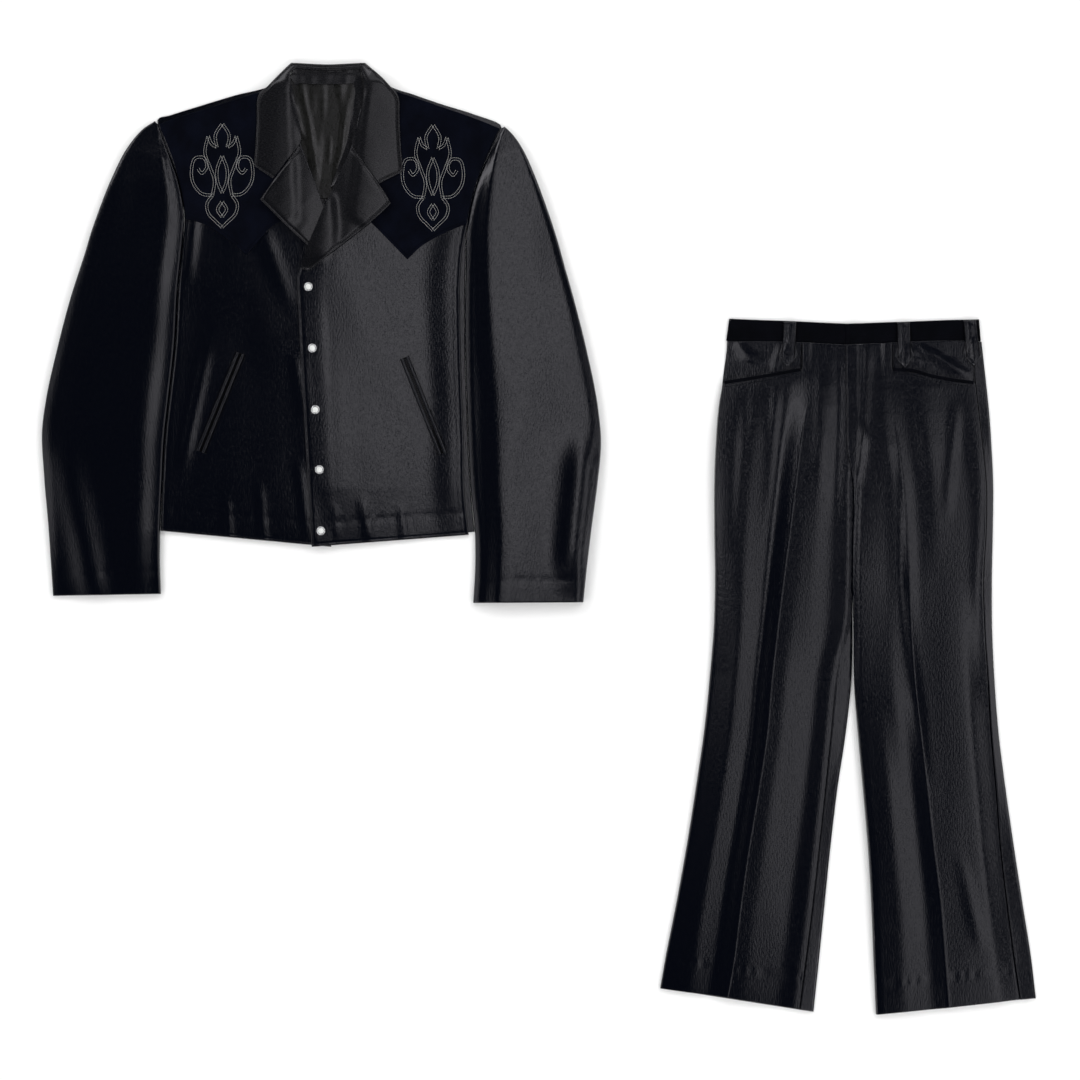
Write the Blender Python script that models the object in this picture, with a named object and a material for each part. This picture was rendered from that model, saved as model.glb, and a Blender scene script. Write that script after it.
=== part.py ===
"""A western suit, jacket and trousers, laid flat side by side on a level surface.

Every piece of cloth is a closed wall drawn through sections. The table of a piece has one row for
each section: the ends of the line across the piece, and how far the cloth lifts there. Sizes are
in millimetres. A garment's x runs across it from its centre line and its y up from its lowest hem.
"""

import math
from collections import namedtuple

import bmesh
import bpy
from mathutils import Vector
from mathutils.bvhtree import BVHTree

MM = 0.001

# Where each garment's own zero lies on the surface, in mm.
JACKET_AT = (-325.25, -12.25)
TROUSERS_AT = (473.75, -713.25)

# Cloth and the gaps that keep its pieces apart.
CLOTH = 1.4
BACK_CLOTH = 1.5
LINING_CLOTH = 1.0
LAY_GAP = 0.35
SEAM_GAP = 0.5
ON_BACK = BACK_CLOTH + LAY_GAP
MOST_LIFT = 3.6

# The soft fold where a tube of cloth turns round to its underside.
FOLD_RADIUS = 7.0
FOLD_LIFT = 1.2
UNDER_INSET = 3.6
FOLD_COLUMNS = ((0.0, 0.0), (1.5, 0.08), (4.5, 0.2), (12.0, 0.33))

# How far round a spot a piece looks for what it rests on, and from how high.
LOOK_ROUND = 22.0
LOOK_ROUND_FRONT = 38.0
LOOK_ROUND_STAND = 14.0
LOOK_ROUND_STRIP = 5.0
LOOK_ROUND_LOOP = 7.0
LOOK_RINGS = (0.3, 0.65, 1.0)
LOOK_SPOTS = 8
LOOK_FROM = 100.0

# Spaces across each piece between its folded edges.
ACROSS_BACK = 6
ACROSS_UNDER = 3
ACROSS_SLEEVE = 4
ACROSS_FRONT = 7
ACROSS_STAND = 2
ACROSS_YOKE = 8
ACROSS_LAPEL = 5
ACROSS_COLLAR = 4
ACROSS_STRIP = 2
ACROSS_LEG = 3
ACROSS_BAND = 2
ACROSS_LOOP = 3
SHARP_ANGLE = 35

SATIN = ((0.012, 0.013, 0.016), 0.38)
PILE = ((0.006, 0.007, 0.013), 0.92)
LINING = ((0.020, 0.021, 0.019), 0.45)
PEARL = ((0.780, 0.770, 0.740), 0.18)
STEEL = ((0.550, 0.550, 0.560), 0.28)

# Right sleeve from the shoulder to the cuff: outer fold, inner edge, lift.
Sleeve = namedtuple("Sleeve", "outer inner lift")
SLEEVE_R = (
    Sleeve((-251, 638.5), (-246, 633), 0.2),
    Sleeve((-270, 625.5), (-237, 606), 1.0),
    Sleeve((-294, 595.5), (-226.5, 579), 1.8),
    Sleeve((-316.5, 550.5), (-216, 549), 2.2),
    Sleeve((-336, 501), (-208, 511.5), 2.2),
    Sleeve((-346.5, 471), (-206, 491), 2.2),
    Sleeve((-354, 445.5), (-208.5, 460.5), 2.2),
    Sleeve((-378, 370.5), (-216, 385.5), 2.3),
    Sleeve((-397.5, 295.5), (-220.5, 303), 2.4),
    Sleeve((-414, 220.5), (-229.5, 220.5), 2.4),
    Sleeve((-420, 172.5), (-235.5, 165), 2.4),
    Sleeve((-417, 108), (-239, 103.5), 2.2),
    Sleeve((-410, 25.5), (-242.5, 24), 2.0),
    Sleeve((-406.5, -27), (-243, -27), 1.6),
    Sleeve((-403.5, -73.5), (-241.5, -70.5), 1.2),
)
SLEEVE_L = (
    Sleeve((274, 630), (268, 627), 0.2),
    Sleeve((285, 619.5), (261, 612), 0.8),
    Sleeve((301.5, 595.5), (249, 586), 1.6),
    Sleeve((318, 559.5), (237, 558), 2.2),
    Sleeve((336, 511.5), (226.5, 526.5), 2.2),
    Sleeve((351, 466.5), (218, 484), 2.2),
    Sleeve((364.5, 418.5), (215.5, 427.5), 2.2),
    Sleeve((378, 370.5), (214.5, 370.5), 2.3),
    Sleeve((397.5, 292.5), (215, 288), 2.4),
    Sleeve((414, 208.5), (217.5, 205.5), 2.4),
    Sleeve((418.5, 157.5), (219.5, 150), 2.4),
    Sleeve((413, 93), (223, 85.5), 2.2),
    Sleeve((404, 25.5), (229, 22.5), 2.0),
    Sleeve((397.5, -30), (229.5, -30), 1.6),
    Sleeve((392, -83), (226.5, -84), 1.2),
)
UNDERARM = 5

# Fronts from the shoulder to the hem: edge at the centre front, edge at armhole and side, lift.
Front = namedtuple("Front", "centre side lift")
FRONT_R = (
    Front((-54, 694.5), (-246, 633), 0.2),
    Front((-43.5, 645), (-237, 606), 0.6),
    Front((-31.5, 603), (-226.5, 579), 0.9),
    Front((-21, 574.5), (-216, 549), 1.1),
    Front((-8, 540), (-208, 511.5), 1.2),
    Front((2, 511), (-206, 491), 1.3),
    Front((9, 478.5), (-208.5, 460.5), 1.4),
    Front((1, 390), (-216, 385.5), 1.6),
    Front((5, 303), (-220.5, 303), 1.8),
    Front((9, 220.5), (-229.5, 220.5), 1.9),
    Front((12, 160.5), (-235.5, 165), 1.9),
    Front((15, 100.5), (-239, 103.5), 1.6),
    Front((14, 0), (-242.5, 24), 0.8),
)
FRONT_L = (
    Front((75, 696), (268, 627), 0.2),
    Front((60, 663), (261, 612), 0.6),
    Front((46.5, 606), (249, 586), 0.9),
    Front((33, 573), (237, 558), 1.1),
    Front((18, 540), (226.5, 526.5), 1.2),
    Front((6, 514.5), (218, 484), 1.3),
    Front((-16.5, 459), (210, 436.5), 1.4),
    Front((-37, 403), (207, 382.5), 1.6),
    Front((-32, 303), (208.5, 295.5), 1.8),
    Front((-27, 213), (211, 213), 1.9),
    Front((-24, 157.5), (213, 156), 1.9),
    Front((-20, 88.5), (214, 85.5), 1.6),
    Front((-15, 0), (220.5, 18), 0.8),
)

# The back above the armholes, from the neck down: left end, right end.
Across = namedtuple("Across", "left right")
BACK_SHOULDERS = (
    Across((-58, 709), (78, 709)),
    Across((-78, 691.5), (100.5, 691.5)),
    Across((-130.5, 677), (138, 678)),
    Across((-180, 662), (181.5, 663)),
    Across((-228, 647), (229.5, 648)),
    Across((-243.5, 636), (265, 631)),
)
HEM_DIP = 16.0

# What shows in the neck: lining rows from the neck down, and the stand with the facing beside it.
LINING_ROWS = (
    Across((-57, 703), (75, 703)),
    Across((-52.5, 670), (70, 670)),
    Across((-48, 633), (60, 633)),
    Across((-40.5, 595), (49.5, 595)),
    Across((-28.5, 558), (39, 558)),
    Across((-13.5, 520), (27, 524)),
)
LINING_PLEAT_X = 6.0
LINING_PLEAT = 0.8
STAND = (
    Across((-45.5, 700.5), (-39, 691.5)),
    Across((-39, 715), (-33, 694.5)),
    Across((-16.5, 712.5), (-15, 693.5)),
    Across((9, 711.5), (9, 693)),
    Across((33, 712.5), (32, 693.5)),
    Across((55.5, 714), (48, 694.5)),
    Across((59.5, 675), (49.5, 678)),
    Across((52.5, 640.5), (43.5, 639)),
    Across((43, 603), (36.5, 603)),
    Across((29.5, 570), (24.5, 570)),
    Across((14.5, 540), (12, 538.5)),
)

# The collar from the right point round behind the neck to the left point: fall edge, roll edge, lift.
Collar = namedtuple("Collar", "fall roll lift")
COLLAR = (
    Collar((-101, 570), (-72.5, 551), 0.0),
    Collar((-100.5, 583.5), (-50, 581), 0.3),
    Collar((-99.5, 595.5), (-33.5, 602.5), 0.6),
    Collar((-97.5, 633), (-31.5, 621), 1.0),
    Collar((-94.5, 676.5), (-38, 655.5), 1.2),
    Collar((-81, 690), (-43.5, 685.5), 1.4),
    Collar((-64.5, 708), (-47, 709.5), 1.2),
    Collar((-46.5, 725.5), (-39, 717), 0.8),
    Collar((-18, 724), (-16.5, 714.5), 0.8),
    Collar((9, 723), (9, 713.5), 0.8),
    Collar((34.5, 724), (33, 714.5), 0.8),
    Collar((64.5, 725.5), (57, 716), 0.8),
    Collar((87, 706.5), (62.5, 700.5), 1.2),
    Collar((103.5, 688.5), (62, 675), 1.4),
    Collar((114.5, 675), (57.5, 648), 1.2),
    Collar((117, 633), (50.5, 619.5), 1.0),
    Collar((119, 595.5), (46, 602.5), 0.6),
    Collar((120.5, 579), (64.5, 574.5), 0.3),
    Collar((121.5, 561.5), (86.5, 543.5), 0.0),
)

# Lapels from the gorge seam down: outer edge, roll edge, lift.
Lapel = namedtuple("Lapel", "outer roll lift")
LAPEL_R = (
    Lapel((-72, 548), (-33, 599.5), 0.2),
    Lapel((-82, 533), (-29, 591), 0.5),
    Lapel((-91.5, 519), (-24.5, 580.5), 0.7),
    Lapel((-75, 502.5), (-17, 561), 0.9),
    Lapel((-55.5, 483), (-6.5, 532.5), 1.0),
    Lapel((-37.5, 466), (2, 510.5), 0.8),
    Lapel((-21, 451), (6.5, 489), 0.4),
    Lapel((-5, 438), (5, 452), 0.0),
)
LAPEL_L = (
    Lapel((87, 541.5), (46, 599.5), 0.2),
    Lapel((96, 527.5), (40, 586.5), 0.5),
    Lapel((104, 513), (34, 573), 0.7),
    Lapel((90, 499.5), (22.5, 547.5), 0.9),
    Lapel((70.5, 482.5), (9, 519), 1.0),
    Lapel((40.5, 459), (-4.5, 487.5), 0.9),
    Lapel((10.5, 436), (-18, 456), 0.6),
    Lapel((-19.5, 413), (-31.5, 415.5), 0.0),
)

# Yokes from the armhole to the neck: shoulder edge, lower edge, bow of the section to the neck.
Yoke = namedtuple("Yoke", "shoulder lower bow")
YOKE_R = (
    Yoke((-244.5, 633), (-204.5, 491.5), 7.0),
    Yoke((-225, 640.5), (-189, 487.5), 5.0),
    Yoke((-202.5, 648), (-171, 481), 3.0),
    Yoke((-178.5, 655), (-150, 468), 1.5),
    Yoke((-150, 664), (-129, 451.5), 0.0),
    Yoke((-126, 671.5), (-112.5, 437.5), 0.0),
    Yoke((-108, 677), (-96, 456), 0.0),
    Yoke((-90, 682), (-78, 476.5), 0.0),
    Yoke((-69, 688.5), (-61.5, 487.5), 0.0),
    Yoke((-56, 692.5), (-45, 495), 0.0),
)
YOKE_L = (
    Yoke((266, 627), (216.5, 483.5), -7.0),
    Yoke((247, 635), (202.5, 478), -5.0),
    Yoke((223.5, 644), (187.5, 472), -3.0),
    Yoke((199.5, 652.5), (168, 462), -1.5),
    Yoke((174, 661), (148.5, 450), 0.0),
    Yoke((153, 668.5), (128, 430.5), 0.0),
    Yoke((132, 675.5), (110, 449), 0.0),
    Yoke((114, 681.5), (91.5, 468), 0.0),
    Yoke((94.5, 688.5), (74, 485), 0.0),
    Yoke((78, 694.5), (54, 499.5), 0.0),
)

# Chest pockets of the jacket: upper and lower end of the mouth.
Pocket = namedtuple("Pocket", "side upper lower")
JACKET_POCKETS = (
    Pocket("r", (-121.5, 289.5), (-181.5, 142.5)),
    Pocket("l", (123.8, 283.5), (180.8, 139.5)),
)
LIP_WIDTH = 6.2
LIP_FROM_MOUTH = 0.2
LIP_LIFT = 0.5
LIP_SECTIONS = 7

SNAPS = ((-19.5, 389), (-13.5, 297), (-9, 205), (-3, 115.5), (-1, 24))
SNAP_RING_R = 6.6
SNAP_RING_BORE_R = 4.9
SNAP_CAP_R = 4.5
SNAP_RING_H = 2.0
SNAP_CAP_H = 2.6
SNAP_SIDES = 18

# Trouser fronts from the waist seam to the hem: edge at side seam, pressed crease, inner edge, lift.
Leg = namedtuple("Leg", "side crease inner lift")
LEG_R = (
    Leg((-79.5, 1008), (-60, 1006.9), (1.5, 1003.6), 0.3),
    Leg((-79.5, 967), (-63, 964.5), (1.5, 961.5), 0.8),
    Leg((-193.5, 946), (-69, 943.5), (2, 940.5), 1.2),
    Leg((-204, 913.5), (-73, 913.5), (3, 909), 1.6),
    Leg((-208.5, 861), (-81, 861), (3, 858), 2.0),
    Leg((-211, 801), (-89, 801), (-8.5, 801), 2.3),
    Leg((-211, 726), (-98, 726), (-10.5, 726), 2.4),
    Leg((-210, 651), (-108, 651), (-12, 651), 2.4),
    Leg((-212, 576), (-117, 576), (-18, 579), 2.4),
    Leg((-217.5, 508.5), (-125, 508.5), (-27, 519), 2.4),
    Leg((-226, 426), (-133, 418.5), (-36, 418.5), 2.4),
    Leg((-238, 343.5), (-145, 339), (-44, 339), 2.4),
    Leg((-253, 249), (-160, 249), (-54, 246), 2.4),
    Leg((-268.5, 163.5), (-172.5, 160.5), (-64.5, 153), 2.2),
    Leg((-284, 85.5), (-183, 76.5), (-75, 69), 1.8),
    Leg((-292, 39), (-192, 25.5), (-83, 7.5), 1.4),
)
LEG_L = (
    Leg((54.7, 1007.6), (43.5, 1006.9), (-13.5, 1004.6), 0.3),
    Leg((54.7, 967), (47, 966), (-13.5, 964.5), 0.8),
    Leg((180, 946), (54, 936), (-13, 933), 1.2),
    Leg((184.5, 903), (58.5, 898.5), (-12.5, 898.5), 1.6),
    Leg((190, 852), (64.5, 852), (-12, 849), 2.0),
    Leg((195, 798), (71, 798), (-3, 798), 2.3),
    Leg((195, 726), (76.5, 726), (-3, 726), 2.4),
    Leg((191, 651), (80, 651), (-3.8, 651), 2.4),
    Leg((193.5, 576), (83, 576), (-3, 576), 2.4),
    Leg((199, 501), (88.5, 501), (-2.3, 501), 2.4),
    Leg((204, 418.5), (97, 426), (3.8, 426), 2.4),
    Leg((211, 339), (106.5, 343.5), (11.3, 343.5), 2.4),
    Leg((218, 249), (117, 249), (19.5, 249), 2.4),
    Leg((228, 163.5), (127.5, 163.5), (24.5, 163.5), 2.2),
    Leg((238.5, 84), (134, 84), (27.8, 81), 1.8),
    Leg((247.5, 22.5), (140, 10.5), (31.5, 0), 1.4),
)
POCKET_ROW = 2
CROTCH_ROW = 5

# Trouser backs, waist to hem: fold away from the rolled edge, seam where the front ends, rolled edge.
Back = namedtuple("Back", "fold seam rolled")
BACK_R = (
    Back((-192, 1008.5), (-9, 1002.5), (-5.3, 1002.5)),
    Back((-199.5, 943.5), (-9, 940.5), (-5.3, 940.5)),
    Back((-208.5, 861), (-9.5, 858), (-4.6, 858)),
    Back((-211, 801), (-10.5, 801), (-3.6, 801)),
    Back((-211, 726), (-11.5, 726), (-3.6, 726)),
    Back((-210, 651), (-12, 651), (-4.4, 651)),
    Back((-212, 576), (-18, 579), (-3.6, 576)),
    Back((-217.5, 508.5), (-27, 519), (-5, 508.5)),
    Back((-226, 426), (-36, 418.5), (-14, 418.5)),
    Back((-238, 343.5), (-44, 339), (-26, 339)),
    Back((-253, 249), (-54, 246), (-37, 246)),
    Back((-268.5, 163.5), (-64.5, 153), (-46.5, 153)),
    Back((-284, 85.5), (-75, 69), (-55, 69)),
    Back((-292, 39), (-83, 7.5), (-62, 4)),
)
ROLLED_FROM_R = 6
BACK_L = (
    Back((-4.5, 1003.5), (178, 1008), (190, 1008.5)),
    Back((-4.5, 940.5), (180, 946), (197, 946)),
    Back((-4.5, 898.5), (184.5, 903), (201.5, 903)),
    Back((-4, 858), (190, 852), (205, 852)),
    Back((-3, 798), (195, 798), (207.5, 798)),
    Back((-3, 726), (195, 726), (207, 726)),
    Back((-3.8, 651), (191, 651), (205.5, 651)),
    Back((-3, 576), (193.5, 576), (206, 576)),
    Back((-2.3, 501), (199, 501), (209.5, 501)),
    Back((3.8, 426), (204, 418.5), (216, 418.5)),
    Back((11.3, 343.5), (211, 339), (226, 339)),
    Back((19.5, 249), (218, 249), (239, 249)),
    Back((24.5, 163.5), (228, 163.5), (252, 163.5)),
    Back((27.8, 81), (238.5, 84), (264.5, 84)),
    Back((31.5, 0), (247.5, 22.5), (271.5, 24)),
)
ROLLED_FROM_L = 0
ROLLED_H = 2.9
ROLLED_FOOT = 0.2
ROLLED_START = 0.8

# Waistband pieces and hip facings, from the wearer's right to the left: upper edge, lower edge.
Band = namedtuple("Band", "upper lower")
WAISTBAND_R = (
    Band((-187.5, 1043), (-191.5, 1010)),
    Band((-142, 1041), (-143, 1010)),
    Band((-96, 1039.5), (-96, 1009.5)),
    Band((-46, 1037), (-46, 1006.5)),
    Band((2, 1035), (2, 1004)),
)
WAISTBAND_L = (
    Band((-13.5, 1035.5), (-13.5, 1005)),
    Band((5, 1036), (5, 1005.5)),
    Band((30, 1037), (30, 1006.5)),
    Band((87, 1039), (87, 1010)),
    Band((140, 1041), (140, 1011)),
    Band((186, 1042), (188.5, 1010.5)),
)
WAISTBAND_BACK = (
    Band((-187.5, 1042), (-191.5, 1008.9)),
    Band((-90, 1038), (-90, 1005.6)),
    Band((0, 1035), (0, 1003.9)),
    Band((90, 1038), (90, 1006.2)),
    Band((186, 1041), (188.5, 1008.9)),
)
FACING_R = (
    Band((-190, 1009.5), (-190.5, 941)),
    Band((-150, 1009.5), (-150, 942)),
    Band((-110, 1009.1), (-110, 950)),
    Band((-71, 1007.5), (-71, 956)),
)
FACING_L = (
    Band((46, 1007), (46, 956)),
    Band((80, 1009.1), (80, 956)),
    Band((130, 1010.3), (130, 941)),
    Band((177, 1010), (177.5, 940)),
)

# Bindings of the hip pocket mouths: points along the mouth.
MOUTH_R = ((-192, 944.5), (-155, 951), (-115, 958), (-81.5, 964))
MOUTH_L = ((57, 964), (85, 963), (112, 955), (145, 948.5), (176.5, 944.5))
MOUTH_WIDTH = 5.0

# Belt loops: distance down from the top, half width.
Loop = namedtuple("Loop", "down half")
LOOP_SHAPE = (
    Loop(0, 10.0),
    Loop(16, 10.0),
    Loop(32, 10.6),
    Loop(42, 12.2),
    Loop(50, 14.8),
    Loop(59, 8.6),
    Loop(68, 1.0),
)

# Middle of each loop's top and how far its point leans to the wearer's left.
LoopTop = namedtuple("LoopTop", "x y lean")
LOOP_TOPS = (
    LoopTop(-97.5, 1038.5, -4.0),
    LoopTop(72.5, 1037.5, 1.5),
    LoopTop(172, 1040.5, 5.5),
)


def clear_scene():
    for obj in list(bpy.data.objects):
        bpy.data.objects.remove(obj)


def material(name, look):
    colour, roughness = look
    mat = bpy.data.materials.new(name)
    mat.use_nodes = True
    shader = mat.node_tree.nodes["Principled BSDF"]
    shader.inputs["Base Color"].default_value = (*colour, 1.0)
    shader.inputs["Roughness"].default_value = roughness
    shader.inputs["Metallic"].default_value = 1.0 if look is STEEL else 0.0
    return mat


def mix(a, b, share):
    return a + (b - a) * share


def between(a, b, share):
    return (mix(a[0], b[0], share), mix(a[1], b[1], share))


def span(a, b):
    return math.hypot(b[0] - a[0], b[1] - a[1])


class Laid:
    """The upper faces of pieces already laid, to find what a new piece would rest on."""

    def __init__(self, at):
        self.at = at
        self.trees = {}

    def add(self, name, points, faces):
        self.trees[name] = BVHTree.FromPolygons([Vector(p) for p in points], faces)

    def height(self, x, y, names, reach):
        """The highest upper face of the named pieces at a spot and close round it."""
        best = 0.0
        rings = [(x, y)]
        for ring in LOOK_RINGS:
            radius = ring * reach
            for step in range(LOOK_SPOTS):
                turn = math.tau * step / LOOK_SPOTS
                rings.append((x + radius * math.cos(turn), y + radius * math.sin(turn)))
        for name in names:
            tree = self.trees[name]
            for px, py in rings:
                hit = tree.ray_cast(Vector((px, py, LOOK_FROM)), Vector((0, 0, -1)))
                if hit[0] is not None:
                    best = max(best, hit[0].z)
        return best


def wall_object(name, outer, inner, look, at):
    """A closed wall from two grids of points, the outer face and the inner one."""
    rows, cols = len(outer), len(outer[0])
    mesh = bmesh.new()
    grids = []
    for grid in (outer, inner):
        rows_of = []
        for row in grid:
            rows_of.append(
                [mesh.verts.new(((x + at[0]) * MM, (y + at[1]) * MM, z * MM)) for x, y, z in row]
            )
        grids.append(rows_of)
    top, under = grids
    for i in range(rows - 1):
        for j in range(cols - 1):
            mesh.faces.new((top[i][j], top[i][j + 1], top[i + 1][j + 1], top[i + 1][j]))
            mesh.faces.new((under[i][j], under[i + 1][j], under[i + 1][j + 1], under[i][j + 1]))
    for i in range(rows - 1):
        mesh.faces.new((top[i][0], top[i + 1][0], under[i + 1][0], under[i][0]))
        mesh.faces.new((top[i][-1], under[i][-1], under[i + 1][-1], top[i + 1][-1]))
    for j in range(cols - 1):
        mesh.faces.new((top[0][j], under[0][j], under[0][j + 1], top[0][j + 1]))
        mesh.faces.new((top[-1][j], top[-1][j + 1], under[-1][j + 1], under[-1][j]))
    bmesh.ops.recalc_face_normals(mesh, faces=mesh.faces)
    if mesh.calc_volume(signed=True) < 0:
        bmesh.ops.reverse_faces(mesh, faces=mesh.faces)
    return finish(name, mesh, look)


def finish(name, mesh, look):
    data = bpy.data.meshes.new(name)
    mesh.to_mesh(data)
    mesh.free()
    data.shade_smooth()
    data.set_sharp_from_angle(angle=math.radians(SHARP_ANGLE))
    data.materials.append(material(name, look))
    obj = bpy.data.objects.new(name, data)
    bpy.context.scene.collection.objects.link(obj)
    return obj


def steps(length, inner_steps, fold_a, fold_b):
    """Places along a section, in mm, closer together where an end is folded round."""
    near_a = [min(d, f * length) for d, f in FOLD_COLUMNS] if fold_a else [0.0]
    near_b = [length - min(d, f * length) for d, f in reversed(FOLD_COLUMNS)] if fold_b else [length]
    low, high = near_a[-1], near_b[0]
    middle = [mix(low, high, k / inner_steps) for k in range(1, inner_steps)]
    return near_a + middle + near_b


def roundness(distance, length):
    """How much of its height a folded edge has at a distance from its end."""
    radius = min(FOLD_RADIUS, 0.3 * length)
    t = min(1.0, max(0.0, distance / radius))
    return math.sqrt(1.0 - (1.0 - t) ** 2)


class Panel:
    """One piece of cloth, from its sections. Each section is a line of two or more points."""

    def __init__(self, name, sections, lifts, look, laid):
        self.name = name
        self.sections = sections
        self.lifts = lifts
        self.look = look
        self.laid = laid
        self.wall = CLOTH
        self.inner_steps = (ACROSS_SLEEVE,)
        self.folds = [(0.0, 0.0)] * len(sections)
        self.column_folds = (False, False)
        self.bows = [0.0] * len(sections)
        self.on = ()
        self.least = ON_BACK
        self.rim = 0.0
        self.peak = False
        self.reach = LOOK_ROUND

    def lift_at(self, share):
        """The share of a section's lift at a share of the way across it."""
        if self.peak:
            return max(0.0, 1.0 - abs(2.0 * share - 1.0)) ** 1.3
        return max(0.0, math.sin(math.pi * share)) ** 0.7

    def points_across(self, i):
        """The places of a section: point, share of the way, distance from each end."""
        keys = self.sections[i]
        lengths = [span(keys[k], keys[k + 1]) for k in range(len(keys) - 1)]
        total = sum(lengths)
        found = []
        done = 0.0
        for k, length in enumerate(lengths):
            first, last = k == 0, k == len(lengths) - 1
            places = steps(
                length,
                self.inner_steps[k],
                self.column_folds[0] and first,
                self.column_folds[1] and last,
            )
            for place in places[0 if first else 1 :]:
                x, y = between(keys[k], keys[k + 1], place / length)
                share = (k + place / length) / len(lengths)
                bow = self.bows[i] * 4 * share * (1 - share)
                found.append(((x + bow, y), share, done + place, total - done - place))
            done += length
        return found, total

    def build(self):
        outer, inner = [], []
        for i, keys in enumerate(self.sections):
            fold_a, fold_b = self.folds[i]
            places, total = self.points_across(i)
            way = ((keys[-1][0] - keys[0][0]) / total, (keys[-1][1] - keys[0][1]) / total)
            outer_row, inner_row = [], []
            for (x, y), share, from_a, from_b in places:
                base = self.least
                if self.on:
                    base = max(base, self.laid.height(x, y, self.on, self.reach) + LAY_GAP)
                edge_lift = FOLD_LIFT * max(fold_a, fold_b)
                lift = min(MOST_LIFT, edge_lift + self.lifts[i] * self.lift_at(share))
                top = base + lift + self.wall
                drop = fold_a * (1 - roundness(from_a, total))
                drop += fold_b * (1 - roundness(from_b, total))
                z = mix(top, self.rim, min(1.0, drop))
                inset = fold_a * self.wall * (1 - from_a / total)
                inset -= fold_b * self.wall * (1 - from_b / total)
                outer_row.append((x, y, z))
                under = max(self.rim, z - self.wall)
                inner_row.append((x + way[0] * inset, y + way[1] * inset, under))
            outer.append(outer_row)
            inner.append(inner_row)
        self.register(outer)
        return wall_object(self.name, outer, inner, self.look, self.laid.at)

    def register(self, outer):
        cols = len(outer[0])
        points = [p for row in outer for p in row]
        faces = []
        for i in range(len(outer) - 1):
            for j in range(cols - 1):
                a = i * cols + j
                faces.append((a, a + 1, a + 1 + cols, a + cols))
        self.laid.add(self.name, points, faces)


def shifted(point, dx, dy=0.0):
    return (point[0] + dx, point[1] + dy)


def inset_ends(a, b, at_a, at_b):
    """A section's ends moved inwards along it."""
    length = span(a, b)
    at_a, at_b = min(at_a, 0.3 * length), min(at_b, 0.3 * length)
    return between(a, b, at_a / length), between(b, a, at_b / length)


def jacket_back(laid):
    rows = [(row.left, row.right) for row in BACK_SHOULDERS]
    for i in range(1, len(FRONT_R)):
        left = shifted(FRONT_R[i].side, UNDER_INSET if i >= UNDERARM else SEAM_GAP)
        right = shifted(SLEEVE_L[i].inner, -SEAM_GAP)
        rows.append((left, right))
    flat = Panel("jacket_back", rows, [0.0] * len(rows), SATIN, laid)
    flat.wall, flat.least, flat.inner_steps = BACK_CLOTH, 0.0, (ACROSS_BACK,)
    outer, inner = [], []
    for i, (a, b) in enumerate(rows):
        places, _ = flat.points_across(i)
        dip = HEM_DIP * max(0.0, i - len(rows) + 3) / 2
        row = [(x, y - dip * 4 * s * (1 - s), BACK_CLOTH) for (x, y), s, _, _ in places]
        outer.append(row)
        inner.append([(x, y, 0.0) for x, y, _ in row])
    flat.register(outer)
    wall_object(flat.name, outer, inner, SATIN, laid.at)


def jacket_sleeve(side, table, laid):
    count = len(table)
    under = []
    for i, row in enumerate(table):
        at_inner = UNDER_INSET if i >= UNDERARM else 0.0
        under.append(inset_ends(row.outer, row.inner, UNDER_INSET, at_inner))
    lower = Panel(f"jacket_sleeve_under_{side}", under, [0.0] * count, SATIN, laid)
    lower.wall, lower.least, lower.inner_steps = BACK_CLOTH, 0.0, (ACROSS_UNDER,)
    lower.build()
    upper = Panel(
        f"jacket_sleeve_top_{side}",
        [(row.outer, row.inner) for row in table],
        [row.lift for row in table],
        SATIN,
        laid,
    )
    upper.inner_steps = (ACROSS_SLEEVE,)
    upper.column_folds = (True, True)
    upper.folds = [(1.0, 1.0 if i > UNDERARM else 0.0) for i in range(count)]
    upper.build()


def jacket_front(side, table, on, laid):
    toward_centre = 1 if side == "r" else -1
    sections = []
    for row in table:
        sections.append((shifted(row.side, SEAM_GAP * toward_centre), row.centre))
    front = Panel(f"jacket_front_{side}", sections, [row.lift for row in table], SATIN, laid)
    front.inner_steps = (ACROSS_FRONT,)
    front.column_folds = (True, False)
    front.folds = [(1.0 if i > UNDERARM else 0.0, 0.0) for i in range(len(table))]
    front.on, front.reach = on, LOOK_ROUND_FRONT
    front.rim = 0.0 if side == "r" else ON_BACK
    front.build()


def jacket_lining(laid):
    """The back neck's lining, which steps up along its centre pleat."""
    outer = []
    base = BACK_CLOTH + LAY_GAP + LINING_CLOTH
    for row in LINING_ROWS:
        line = []
        for edge, end, high in ((row.left, -1.0, 0.0), (row.right, 1.0, LINING_PLEAT)):
            pleat = (LINING_PLEAT_X + end, mix(row.left[1], row.right[1], 0.5))
            spots = [between(edge, pleat, k / 3) for k in range(4)]
            spots = spots if end < 0 else spots[::-1]
            line += [(x, y, base + high) for x, y in spots]
        outer.append(line)
    inner = [[(x, y, z - LINING_CLOTH) for x, y, z in line] for line in outer]
    panel = Panel("jacket_lining", [], [], LINING, laid)
    panel.register(outer)
    wall_object(panel.name, outer, inner, LINING, laid.at)


def jacket_stand(laid):
    stand = Panel(
        "jacket_collar_stand",
        [(row.left, row.right) for row in STAND],
        [0.3] * len(STAND),
        SATIN,
        laid,
    )
    stand.on, stand.inner_steps = ("jacket_lining",), (ACROSS_STAND,)
    stand.reach = LOOK_ROUND_STAND
    stand.build()


def jacket_yoke(side, table, laid):
    yoke = Panel(
        f"jacket_yoke_{side}",
        [(row.shoulder, row.lower) for row in table],
        [0.1] * len(table),
        PILE,
        laid,
    )
    yoke.bows = [row.bow for row in table]
    yoke.on, yoke.inner_steps = (f"jacket_front_{side}",), (ACROSS_YOKE,)
    yoke.build()


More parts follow.
